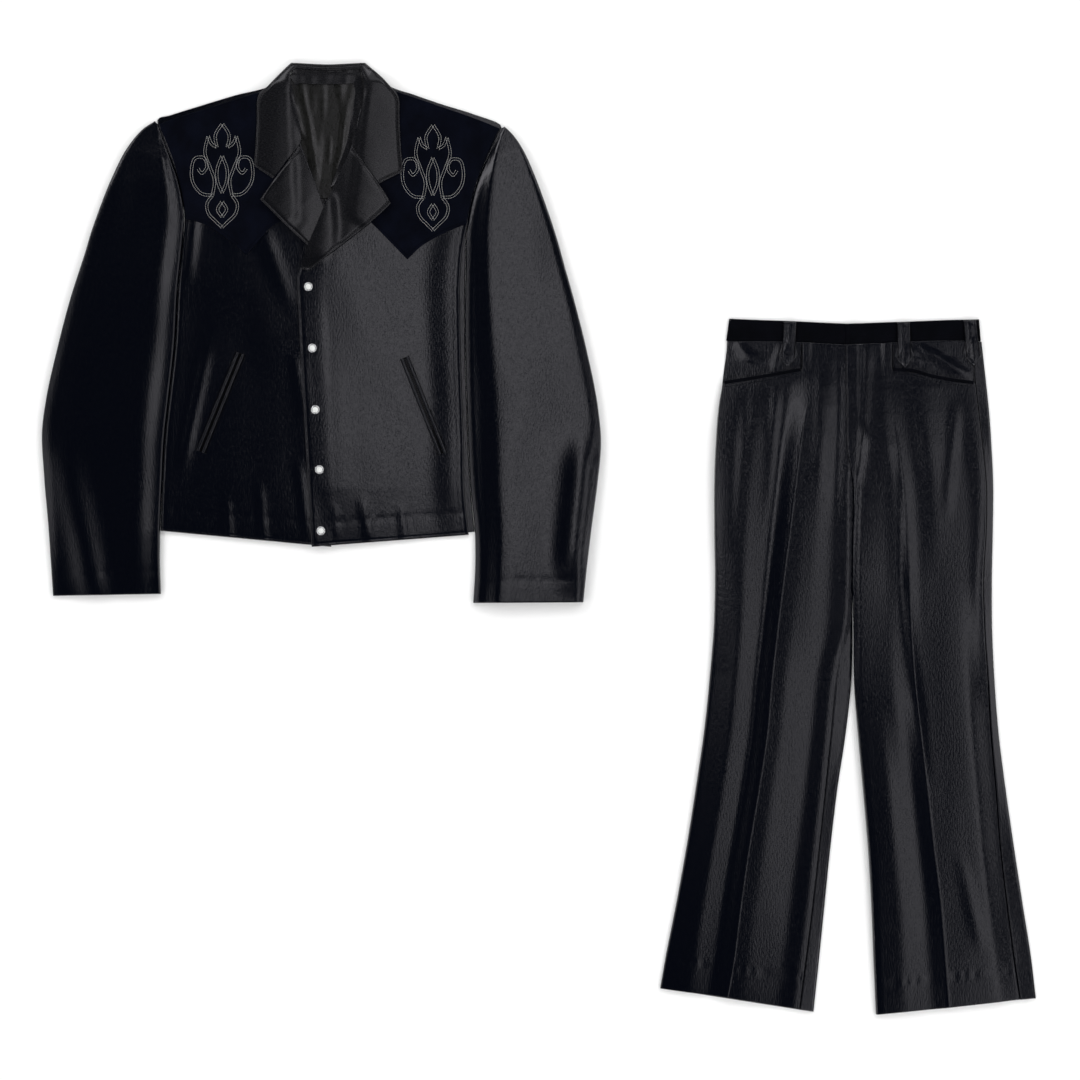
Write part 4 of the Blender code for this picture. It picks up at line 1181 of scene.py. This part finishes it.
def pearl_look(name):
    look = Look(name)
    cloud = look.noise(look.stretched(*PEARL_CLOUD), 3.0, 0.6)
    return look.shade(
        Base_Color=look.blend(cloud, *PEARL),
        Roughness=look.spread(cloud, 0.3, 0.7, 0.16, 0.26),
        Coat_Weight=0.5,
        Coat_Roughness=0.08,
        Specular_IOR_Level=0.6,
    )


def metal_look(name):
    look = Look(name)
    brushed = look.noise(look.stretched(*METAL_BRUSHING))
    return look.shade(
        Base_Color=look.blend(brushed, *METAL),
        Metallic=1.0,
        Roughness=look.spread(brushed, 0.3, 0.7, 0.2, 0.34),
        Normal=look.bump(brushed, 0.2, 0.0001),
    )


def floor_look(name):
    look = Look(name)
    cloud = look.noise(look.node("ShaderNodeTexCoord").outputs["Object"])
    return look.shade(
        Base_Color=look.blend(cloud, *FLOOR),
        Roughness=0.9,
        Specular_IOR_Level=0.1,
    )


LOOKS = {}


def make_looks():
    LOOKS.update(
        satin=satin_look("black satin", *SATIN),
        collar=satin_look("black satin, cross grain", *COLLAR_SATIN),
        lining=satin_look("olive grey lining", *LINING_SATIN),
        pile=pile_look("navy black pile", *NAVY_PILE),
        band=pile_look("black pile", *BLACK_PILE),
        thread=thread_look("black thread", *BLACK_THREAD),
        silver=thread_look("silver grey thread", *SILVER_THREAD),
        pearl=pearl_look("pearl"),
        metal=metal_look("snap metal"),
        floor=floor_look("pale floor"),
    )


def adopt(piece, look, *nodes):
    """The piece rides with the suit, and stands for its solids."""
    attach(piece, "root")
    if nodes:
        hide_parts(*nodes)


def flat_facts(sections):
    """A panel's width, length and area laid out, in metres, from its sections."""
    keys = np.array(sections, float)
    middle = keys.mean(axis=1)
    width = float(np.linalg.norm(keys[:, -1] - keys[:, 0], axis=1).max()) * MM
    length = float(np.linalg.norm(np.diff(middle, axis=0), axis=1).sum()) * MM
    a, b, c, d = keys[:-1, :-1], keys[:-1, 1:], keys[1:, 1:], keys[1:, :-1]
    one, other = c - a, d - b
    cross = one[..., 0] * other[..., 1] - one[..., 1] * other[..., 0]
    area = float(np.abs(cross).sum()) / 2 * MM * MM
    return width, max(length, area / width), area


def lay(name, sections, maps, look, rests_on, **settings):
    """Makes one piece of cloth and lays it on what it rests on; its sheet's size is worked out but not
    kept.
    """
    piece = Cloth(name, sections, maps, **settings).build(look)
    nodes = [name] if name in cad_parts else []
    adopt(piece, look, *nodes)
    width, length, area = flat_facts(sections)
    # A narrow strip is cut twice as wide or more, and folded along its middle.
    if width < NARROW:
        width = max(2 * width, NARROWEST)


def spindle(points, faces, a, b, radius):
    """One stitch: a thread that dips into the cloth at both ends."""
    sides = STITCH_SIDES
    a, b = np.array(a), np.array(b)
    length = float(np.linalg.norm(b - a))
    if length < 1e-6:
        return
    way = (b - a) / length
    side = np.array((-way[1], way[0], 0.0))
    side = side / max(1e-9, float(np.linalg.norm(side)))
    up = np.cross(way, side)
    start = len(points)
    points.append(tuple(a - (0, 0, radius)))
    for share, size in STITCH_RINGS:
        centre = a + way * length * share
        for k in range(sides):
            turn = math.tau * k / sides
            spot = centre + radius * size * (math.cos(turn) * side + math.sin(turn) * up)
            points.append(tuple(spot))
    points.append(tuple(b - (0, 0, radius)))
    end = len(points) - 1
    for k in range(sides):
        n = (k + 1) % sides
        faces.append((start, start + 1 + n, start + 1 + k))
        for low in (start + 1, start + 1 + sides):
            faces.append((low + k, low + n, low + sides + n, low + sides + k))
        faces.append((end, end - sides + k, end - sides + n))


def resampled(line, pitch):
    """Evenly spaced points along a line of points."""
    line = np.array(line, float)
    steps = np.linalg.norm(np.diff(line, axis=0), axis=1)
    reach = np.concatenate([[0.0], np.cumsum(steps)])
    count = max(2, int(reach[-1] / pitch) + 1)
    spots = np.linspace(0, reach[-1], count)
    return np.stack([np.interp(spots, reach, line[:, 0]), np.interp(spots, reach, line[:, 1])], 1)


def curved(points, steps=12):
    """A smooth line through a few points."""
    keys = np.array(points, float)[:, None, :]
    places = [(i, k / steps) for i in range(len(keys) - 1) for k in range(steps)]
    places.append((len(keys) - 2, 1.0))
    return smooth_rows(keys, (), places)[:, 0]


def leftward(line):
    """The direction to the left at each point of a line."""
    way = np.gradient(line, axis=0)
    way = way / np.maximum(1e-9, np.linalg.norm(way, axis=1))[:, None]
    return np.stack([-way[:, 1], way[:, 0]], axis=1)


def beside(line, distance):
    """A line at a distance to the left of another."""
    line = np.array(line, float)
    return line + leftward(line) * distance


def sewing(name, lines, on, maps, look, stitch):
    """Rows of stitches that lie on the cloth, all in one piece."""
    points, faces = [], []
    rise = stitch.radius * (1 - STITCH_SINK)
    for line in lines:
        spots = resampled(line, stitch.pitch)
        for a, b in zip(spots[:-1], spots[1:]):
            end = mix(a, b, stitch.share)
            za = maps.top_at(*a, on)
            zb = maps.top_at(*end, on)
            if za and zb:
                spindle(points, faces, (*a, za + rise), (*end, zb + rise), stitch.radius)
    adopt(mesh_object(name, np.array(points), faces, LOOKS[look], maps.at), look)


def inset_ends(a, b, at_a, at_b):
    """Two points drawn in from the ends of a section."""
    length = span(a, b)
    at_a, at_b = min(at_a, 0.3 * length), min(at_b, 0.3 * length)
    return between(a, b, at_a / length), between(b, a, at_b / length)


# A hidden flat panel.
HIDDEN = {"least": LOWEST, "wall": BACK_CLOTH, "spacing": HIDDEN_GRID, "ripples": None}


def jacket_back(maps):
    rows = [(row.left, between(row.left, row.right, 0.5), row.right) for row in BACK_SHOULDERS]
    for i in range(1, len(FRONT_R)):
        left = shifted(FRONT_R[i].side, UNDER_INSET if i >= UNDERARM else SEAM_GAP)
        right = shifted(SLEEVE_L[i].inner, -SEAM_GAP)
        dip = HEM_DIP * max(0.0, i - len(FRONT_R) + 3) / 2
        rows.append((left, shifted(between(left, right, 0.5), 0, -dip), right))
    lay("jacket_back", rows, maps, "satin", ["the floor"], **HIDDEN)


def below_underarm(table):
    return [1.0 if i > UNDERARM else 0.0 for i in range(len(table))]


def jacket_sleeve(side, table, maps):
    """A flat under sleeve, and the top sleeve that folds down to it."""
    under = []
    for i, row in enumerate(table):
        at_inner = UNDER_INSET if i >= UNDERARM else 0.0
        under.append(inset_ends(row.outer, row.inner, UNDER_INSET, at_inner))
    under_name = f"jacket_sleeve_under_{side}"
    lay(under_name, under, maps, "satin", ["the floor"], **HIDDEN)
    right = side == "r"
    lay(
        f"jacket_sleeve_top_{side}", [(row.outer, row.inner) for row in table], maps, "satin",
        [under_name],
        lifts=[SLEEVE_LOFT * row.lift * min(1.0, 0.3 + 0.3 * i) for i, row in enumerate(table)],
        rise=SLEEVE_R_RISE if right else SLEEVE_L_RISE,
        folds=SLEEVE_R_FOLDS if right else SLEEVE_L_FOLDS, rim_a=FOLD_LOW, rim_b=ON_BACK,
        fold_a=[1.0] * len(table), fold_b=below_underarm(table), fold_radius=2.0,
        bend_b=None if right else Bend([1.0] * len(table), *SLEEVE_BEND), grain=12.0 if right else -12.0,
        ripples=JACKET_RIPPLES[side], hem=CUFF,
    )


def jacket_front(side, table, on, maps):
    right = side == "r"
    seam = SEAM_GAP if right else -SEAM_GAP
    lay(
        f"jacket_front_{side}", [(shifted(row.side, seam), row.centre) for row in table], maps, "satin",
        ["jacket_back"],
        lifts=[FRONT_LOFT * row.lift for row in table], rise=FRONT_R_RISE if right else FRONT_L_RISE,
        folds=FRONT_R_FOLDS if right else FRONT_L_FOLDS, fold_a=below_underarm(table), rim_a=ON_BACK,
        fold_radius=1.4, bend_a=None if right else Bend([1.0] * len(table), *FRONT_BEND),
        corners=() if right else (LAP_CORNER,), ripples=JACKET_RIPPLES[side], on=on, loose=True,
        stitched=True, hem=CUFF,
    )


def jacket_lining(maps):
    """The back neck's lining, with the creases of loose silk."""
    rows = []
    for row in LINING_ROWS:
        rows.append((row.left, (LINING_PLEAT_X, mix(row.left[1], row.right[1], 0.5)), row.right))
    lay(
        "jacket_lining", rows, maps, "lining", ["jacket_back"],
        wall=LINING_CLOTH, folds=LINING_FOLDS, ripples=(14.0, 60.0, 0.8), spacing=FINER_GRID,
    )


def jacket_stand(maps):
    sections = []
    for row in STAND:
        under_collar = between(row.right, row.left, 1 + STAND_TUCK / span(row.right, row.left))
        sections.append((under_collar, row.right))
    lay(
        "jacket_collar_stand", sections, maps, "collar", ["jacket_lining"],
        lifts=[STAND_LOFT] * len(STAND), rise=SLOPE_RISE, turn_a=False, turn_b=False, turn_first=False,
        turn_last=False, on=("jacket_lining",), corners=STAND_CORNERS, ripples=(10.0, 24.0, 0.3),
        grain=90.0, spacing=FINER_GRID,
    )


def jacket_yoke(side, table, maps):
    lay(
        f"jacket_yoke_{side}", [(row.shoulder, row.lower) for row in table], maps, "pile",
        [f"jacket_front_{side}"],
        bows=[row.bow for row in table], on=(f"jacket_front_{side}",), reach=SMALL_REACH,
        corners=(YOKE_POINT,), wall=YOKE_CLOTH, ripples=(40.0, 40.0, 0.3), stitched=True,
        spacing=FINE_GRID,
    )


def jacket_lapel(side, table, on, maps):
    lay(
        f"jacket_lapel_{side}", [(row.roll, row.outer) for row in table], maps, "collar",
        [f"jacket_front_{side}"],
        lifts=[LAPEL_LOFT[side] * row.lift for row in table], rise=LAPEL_RISE, turn_a=False, on=on,
        corners=(LAPEL_POINT,), grain=-35.0 if side == "r" else 35.0, stitched=True, spacing=FINE_GRID,
    )


def jacket_collar(maps):
    fronts = ["jacket_front_r", "jacket_front_l"]
    lay(
        "jacket_collar", [(row.roll, row.fall) for row in COLLAR], maps, "collar",
        [*fronts, "jacket_back"],
        lifts=[COLLAR_LOFT * row.lift for row in COLLAR], rise=COLLAR_RISE, turn_a=False,
        on=("jacket_back", "jacket_collar_stand", *fronts, "jacket_yoke_r", "jacket_yoke_l"),
        corners=COLLAR_CORNERS, grain=90.0, stitched=True, spacing=FINE_GRID,
    )


def strip(name, line, near, far, on, maps, loft, look):
    """A narrow strip beside a line of points, from one distance to another on its left."""
    sections = np.stack([beside(line, near), beside(line, far)], axis=1)
    lay(
        name, sections, maps, look, [on[0]],
        lifts=[loft] * len(sections), rise=PILLOW_RISE, on=on, reach=STRIP_REACH, wall=LIP_CLOTH,
        turn_radius=1.6, ripples=(6.0, 9.0, 0.12), spacing=FINER_GRID,
    )


def jacket_pocket(pocket, maps):
    line = [between(pocket.upper, pocket.lower, k / (LIP_SECTIONS - 1)) for k in range(LIP_SECTIONS)]
    on = (f"jacket_front_{pocket.side}",)
    far = LIP_FROM_MOUTH + LIP_WIDTH
    for place, near, end in (("right", -far, -LIP_FROM_MOUTH), ("left", LIP_FROM_MOUTH, far)):
        strip(f"jacket_pocket_{pocket.side}_lip_{place}", line, near, end, on, maps, LIP_LOFT, "satin")


def turned(name, profile, place, height, look, maps):
    """A round piece, turned from a profile of radius and height."""
    points, faces = [], []
    for radius, z in profile:
        for step in range(TURNED_SIDES):
            turn = math.tau * step / TURNED_SIDES
            x, y = shifted(place, radius * math.cos(turn), radius * math.sin(turn))
            points.append((x, y, height + z))
    count = len(profile)
    hollow = profile[0][0] > 1.0
    for ring in range(count if hollow else count - 1):
        low, high = ring * TURNED_SIDES, ((ring + 1) % count) * TURNED_SIDES
        for k in range(TURNED_SIDES):
            n = (k + 1) % TURNED_SIDES
            faces.append((low + k, low + n, high + n, high + k))
    if not hollow:
        faces.append(tuple(range(TURNED_SIDES)))
        faces.append(tuple(range(count * TURNED_SIDES - 1, (count - 1) * TURNED_SIDES - 1, -1)))
    piece = mesh_object(name, np.array(points), faces, LOOKS[look], maps.at, sharp=40)
    adopt(piece, look, name)


def jacket_snaps(maps):
    """Each snap is a metal ring with a rolled rim round a domed pearl cap."""
    ring = [(SNAP_BORE_R, 0.0), (SNAP_RING_R, 0.0), (SNAP_RING_R, 0.9)]
    middle, half = (SNAP_RING_R + SNAP_BORE_R) / 2, (SNAP_RING_R - SNAP_BORE_R) / 2
    for k in range(1, 7):
        turn = math.pi * k / 6
        ring.append((middle + half * math.cos(turn), 1.1 + 0.85 * math.sin(turn)))
    cap = [(0.3, 0.0), (SNAP_CAP_R, 0.0)]
    for k in range(9):
        turn = 0.5 * math.pi * k / 8
        cap.append((max(0.15, SNAP_CAP_R * math.cos(turn)), 0.9 + 1.7 * math.sin(turn)))
    for number, place in enumerate(SNAPS, start=1):
        height = maps.top_at(*place, ["jacket_front_l"]) - SNAP_SINK
        turned(f"jacket_snap_{number}_ring", ring, place, height, "metal", maps)
        turned(f"jacket_snap_{number}_cap", cap, place, height, "pearl", maps)


def trouser_back(side, folds, seams, rolled_edge, rolled_from, maps):
    """The back: its hidden flat panel, and the strip of it that rolls round to the front."""
    name = f"trouser_back_{side}"
    ends = zip(folds, rolled_edge)
    flat = [(shifted(fold, UNDER_INSET), shifted(edge, -UNDER_INSET)) for fold, edge in ends]
    lay(name, flat, maps, "satin", ["the floor"], **HIDDEN)
    rolled = list(zip(seams, rolled_edge))[rolled_from:]
    rolled = [(shifted(seam, SEAM_GAP), edge) for seam, edge in rolled]
    lay(
        f"{name}_rolled", rolled, maps, "satin", [name],
        lifts=[ROLLED_LOFT * min(1.0, 0.25 + 0.2 * i) for i in range(len(rolled))],
        rise=SLOPE_RISE, fold_b=[1.0] * len(rolled), rim_b=FOLD_LOW, ripples=(20.0, 90.0, 0.3),
        spacing=FINE_GRID,
    )


def trouser_front(side, table, on, maps):
    count = len(table)
    sections = [(row.side, row.crease, row.inner) for row in table]
    if side == "r":
        # Between the crotch and where the legs part, this front rolls down against the other.
        for i, reach in enumerate(MEETING, start=CROTCH_ROW):
            sections[i] = (*sections[i][:2], shifted(table[i].inner, reach))
        low_rises = ((9, LEG_R_RISE),)
        own = {"folds": LEG_R_FOLDS, "fold_a": [float(i > POCKET_ROW) for i in range(count)]}
    else:
        low_rises = ((7, LEG_L_KNEE_RISE), (9.5, LEG_L_CALF_RISE), (11, LEG_L_RISE))
        own = {"folds": LEG_L_FOLDS, "fold_b": [float(i > PARTING_ROW) for i in range(count)]}
    hip = LEG_R_HIP_RISE if side == "r" else LEG_L_HIP_RISE
    lay(
        f"trouser_front_{side}", sections, maps, "satin", [f"trouser_back_{side}"],
        lifts=[LEG_LOFT * row.lift for row in table], rises=((1, WAIST_RISE), (4, hip), *low_rises),
        rim_a=FOLD_LOW, fold_radius=2.0,
        bend_b=Bend(np.interp(range(count), *zip(*INSEAM_BEND)), *INSEAM),
        corners=(POCKET_ROW - 1, POCKET_ROW), ripples=(34.0, 150.0, 0.2),
        press=[PRESS_H if i >= PRESS_ROW else 0.0 for i in range(count)], on=on, loose=True,
        hem=LEG_HEM, **own,
    )


def band(name, table, look, maps, **settings):
    """A piece of the waistband, or a hip facing."""
    sections = [(row.upper, row.lower) for row in table]
    shape = {"ripples": (25.0, 12.0, 0.35), "spacing": FINE_GRID, "stitched": look == "band"}
    lay(name, sections, maps, look, ["trouser_back_r"], **shape, **settings)


def trouser_loops(maps):
    on = tuple(name for name in maps.maps if "back" not in name or name == "trouser_back_l_rolled")
    for number, top in enumerate(LOOP_TOPS, start=1):
        sections = []
        for row in LOOP_SHAPE:
            middle = loop_middle(top, row.down)
            sections.append((shifted(middle, -row.half), shifted(middle, row.half)))
        lay(
            f"trouser_loop_{number}", sections, maps, "satin",
            ["trouser_waistband_r", "trouser_waistband_l"],
            lifts=[LOOP_LOFT] * len(sections), rise=PILLOW_RISE, on=on, reach=SMALL_REACH,
            wall=LOOP_CLOTH, corners=LOOP_CORNERS, ripples=(8.0, 20.0, 0.15), stitched=True,
            spacing=LOOP_GRID,
        )


def loop_middle(top, down):
    return (top.x + top.lean * down / LOOP_LENGTH, top.y - down)


def yoke_figure(side, box, maps):
    """Each line of the figure is two rows of raised stitches."""
    (x0, y0), (x1, y1) = box
    lines = []
    for stroke in TULIP:
        for flip in (False, True):
            points = [(1 - u if flip else u, v) for u, v in stroke]
            line = curved([(mix(x0, x1, u), mix(y0, y1, v)) for u, v in points], 8)
            lines += [beside(line, -ROW_GAP), beside(line, ROW_GAP)]
    sewing(f"yoke_stitching_{side}", lines, [f"jacket_yoke_{side}"], maps, "silver", EMBROIDERY)


def jacket_sewing(maps):
    """The topstitching inside the edges, and painted shadow lines of black thread at the pockets."""
    lines = [beside(curved([row.centre for row in FRONT_L[LAP_CORNER:]]), STITCH_INSET)]
    for table, inset in ((LAPEL_R, STITCH_INSET), (LAPEL_L, -STITCH_INSET)):
        outer = [row.outer for row in table]
        lines.append(beside(curved(outer[: LAPEL_POINT + 1]), inset))
        lines.append(beside(curved(outer[LAPEL_POINT:]), inset))
    lines.append(beside(curved([row.fall for row in COLLAR]), -STITCH_INSET))
    for row, inset in ((COLLAR[0], STITCH_INSET), (COLLAR[-1], -STITCH_INSET)):
        lines.append(beside(curved([row.fall, row.roll]), inset))
    for table, inset in ((YOKE_R, STITCH_INSET), (YOKE_L, -STITCH_INSET)):
        lower = [row.lower for row in table]
        lines.append(beside(curved(lower[: YOKE_POINT + 1]), inset))
        lines.append(beside(curved(lower[YOKE_POINT:]), inset))
    seams = []
    for pocket in JACKET_POCKETS:
        mouth = resampled([pocket.upper, pocket.lower], POCKET_STEP)
        for gap in (-LIP_EDGE - POCKET_STITCH, LIP_EDGE + POCKET_STITCH):
            lines.append(beside(mouth, gap))
        # These rows of black thread paint the shadows in the pocket's mouth and beside its lips.
        for gap in (-LIP_EDGE, -MOUTH_SHADOW_OFFSET, 0.0, MOUTH_SHADOW_OFFSET, LIP_EDGE):
            seams.append(beside(mouth, gap))
    on = [name for name in maps.trees if name.split("_")[1] in ("front", "lapel", "collar", "yoke")]
    sewing("jacket_topstitching", lines, on, maps, "thread", TOPSTITCH)
    on = [name for name in maps.trees if name.split("_")[1] in ("front", "pocket")]
    sewing("jacket_pocket_seams", seams, on, maps, "thread", POCKET_SHADOW_LINES)


def trouser_sewing(maps):
    """The fly's stitching, the pocket ends, the belt loops with their arrows, and painted shadow lines.
    """
    lines = [curved(FLY_STITCHING)] + [curved(ends) for ends in POCKET_ENDS]
    # Rows of black thread that paint shadow lines at the hip pockets' ends.
    seams = [resampled(ends, SHADOW_LINE_STEP) for ends in POCKET_END_SHADOW_LINES]
    lines += [beside(curved(mouth), -MOUTH_STITCH) for mouth in (MOUTH_R, MOUTH_L)]
    for top in LOOP_TOPS:
        for down in LOOP_ARROWS:
            tip = loop_middle(top, down)
            lines.append([shifted(tip, -LOOP_ARROW, LOOP_ARROW), tip])
            lines.append([tip, shifted(tip, LOOP_ARROW, LOOP_ARROW)])
        ends = [(top.x, top.y - 2), loop_middle(top, 0.8 * LOOP_LENGTH)]
        # Rows of black thread that paint shadow lines along the loop's edges.
        for gap in (-LOOP_EDGE, LOOP_EDGE):
            seams.append(beside(resampled(ends, SHADOW_LINE_STEP), gap))
    on = [name for name in maps.trees if "back" not in name]
    sewing("trouser_topstitching", lines, on, maps, "thread", TOPSTITCH)
    sewing("trouser_seams", seams, on, maps, "thread", TROUSER_SHADOW_LINES)


def build_jacket():
    maps = Maps(JACKET_AT, JACKET_REACH)
    jacket_back(maps)
    jacket_sleeve("r", SLEEVE_R, maps)
    jacket_sleeve("l", SLEEVE_L, maps)
    jacket_lining(maps)
    jacket_stand(maps)
    jacket_front("r", FRONT_R, ("jacket_lining",), maps)
    jacket_yoke("r", YOKE_R, maps)
    jacket_lapel("r", LAPEL_R, ("jacket_front_r", "jacket_yoke_r"), maps)
    jacket_front("l", FRONT_L, ("jacket_lining", "jacket_front_r", "jacket_lapel_r"), maps)
    jacket_yoke("l", YOKE_L, maps)
    jacket_lapel("l", LAPEL_L, ("jacket_front_l", "jacket_yoke_l"), maps)
    jacket_collar(maps)
    for pocket in JACKET_POCKETS:
        jacket_pocket(pocket, maps)
    jacket_snaps(maps)
    yoke_figure("r", TULIP_R, maps)
    yoke_figure("l", TULIP_L, maps)
    jacket_sewing(maps)


def build_trousers():
    maps = Maps(TROUSERS_AT, TROUSERS_REACH)
    folds = [*BACK_R_TOP, *(row.side for row in LEG_R[4:])]
    trouser_back("r", folds, [row.inner for row in LEG_R[2:]], ROLLED_R, ROLLED_FROM_R, maps)
    folds = [*BACK_L_TOP, *(row.inner for row in LEG_L[CROTCH_ROW:])]
    trouser_back("l", folds, [SEAM_L_TOP, *(row.side for row in LEG_L[2:])], ROLLED_L, 0, maps)
    band("trouser_waistband_back", WAISTBAND_BACK, "band", maps, least=LOWEST, wall=BACK_CLOTH)
    band("trouser_facing_r", FACING_R, "satin", maps, folds=FACING_R_FOLDS)
    band("trouser_facing_l", FACING_L, "satin", maps, folds=FACING_L_FOLDS)
    trouser_front("r", LEG_R, ("trouser_facing_r",), maps)
    trouser_front("l", LEG_L, ("trouser_facing_l", "trouser_front_r"), maps)
    band("trouser_waistband_r", WAISTBAND_R, "band", maps)
    band("trouser_waistband_l", WAISTBAND_L, "band", maps, on=("trouser_waistband_r",))
    for side, mouth in (("r", MOUTH_R), ("l", MOUTH_L)):
        on = (f"trouser_front_{side}", f"trouser_facing_{side}")
        # The binding's black pile paints the shade in the pocket's open mouth.
        strip(f"trouser_mouth_{side}", curved(mouth, 6), 0.0, MOUTH_WIDTH, on, maps, MOUTH_LOFT, "band")
    trouser_loops(maps)
    trouser_sewing(maps)


def make_camera():
    """The camera looks straight down on the middle of the picture."""
    data = bpy.data.cameras.new("camera")
    data.lens = CAMERA_LENS
    data.sensor_width = CAMERA_SENSOR
    camera = bpy.data.objects.new("camera", data)
    camera.location = CAMERA_AT
    bpy.context.scene.collection.objects.link(camera)
    bpy.context.scene.camera = camera


def make_lights():
    for panel in PANELS:
        data = bpy.data.lights.new(panel.name, "AREA")
        data.shape = "RECTANGLE"
        data.size, data.size_y = panel.width, panel.depth
        data.energy = panel.glow * math.pi * panel.width * panel.depth
        light = bpy.data.objects.new(panel.name, data)
        light.location = panel.place
        way = Vector(panel.faces) - Vector(panel.place)
        light.rotation_euler = way.to_track_quat("-Z", "Y").to_euler()
        bpy.context.scene.collection.objects.link(light)
    world = bpy.data.worlds.new("studio")
    world.use_nodes = True
    sky = world.node_tree.nodes["Background"]
    sky.inputs["Color"].default_value = (1.0, 1.0, 1.0, 1.0)
    sky.inputs["Strength"].default_value = SKY_GLOW
    bpy.context.scene.world = world
    bpy.context.scene.view_settings.view_transform = "Standard"


def make_floor():
    reach = FLOOR_HALF / MM
    corners = ((-reach, -reach), (reach, -reach), (reach, reach), (-reach, reach))
    points = np.array([(x, y, 0.0) for x, y in corners])
    mesh_object("floor", points, [(0, 1, 2, 3)], LOOKS["floor"], (0.0, 0.0))


make_camera()
make_looks()
make_lights()
make_floor()
build_jacket()
build_trousers()
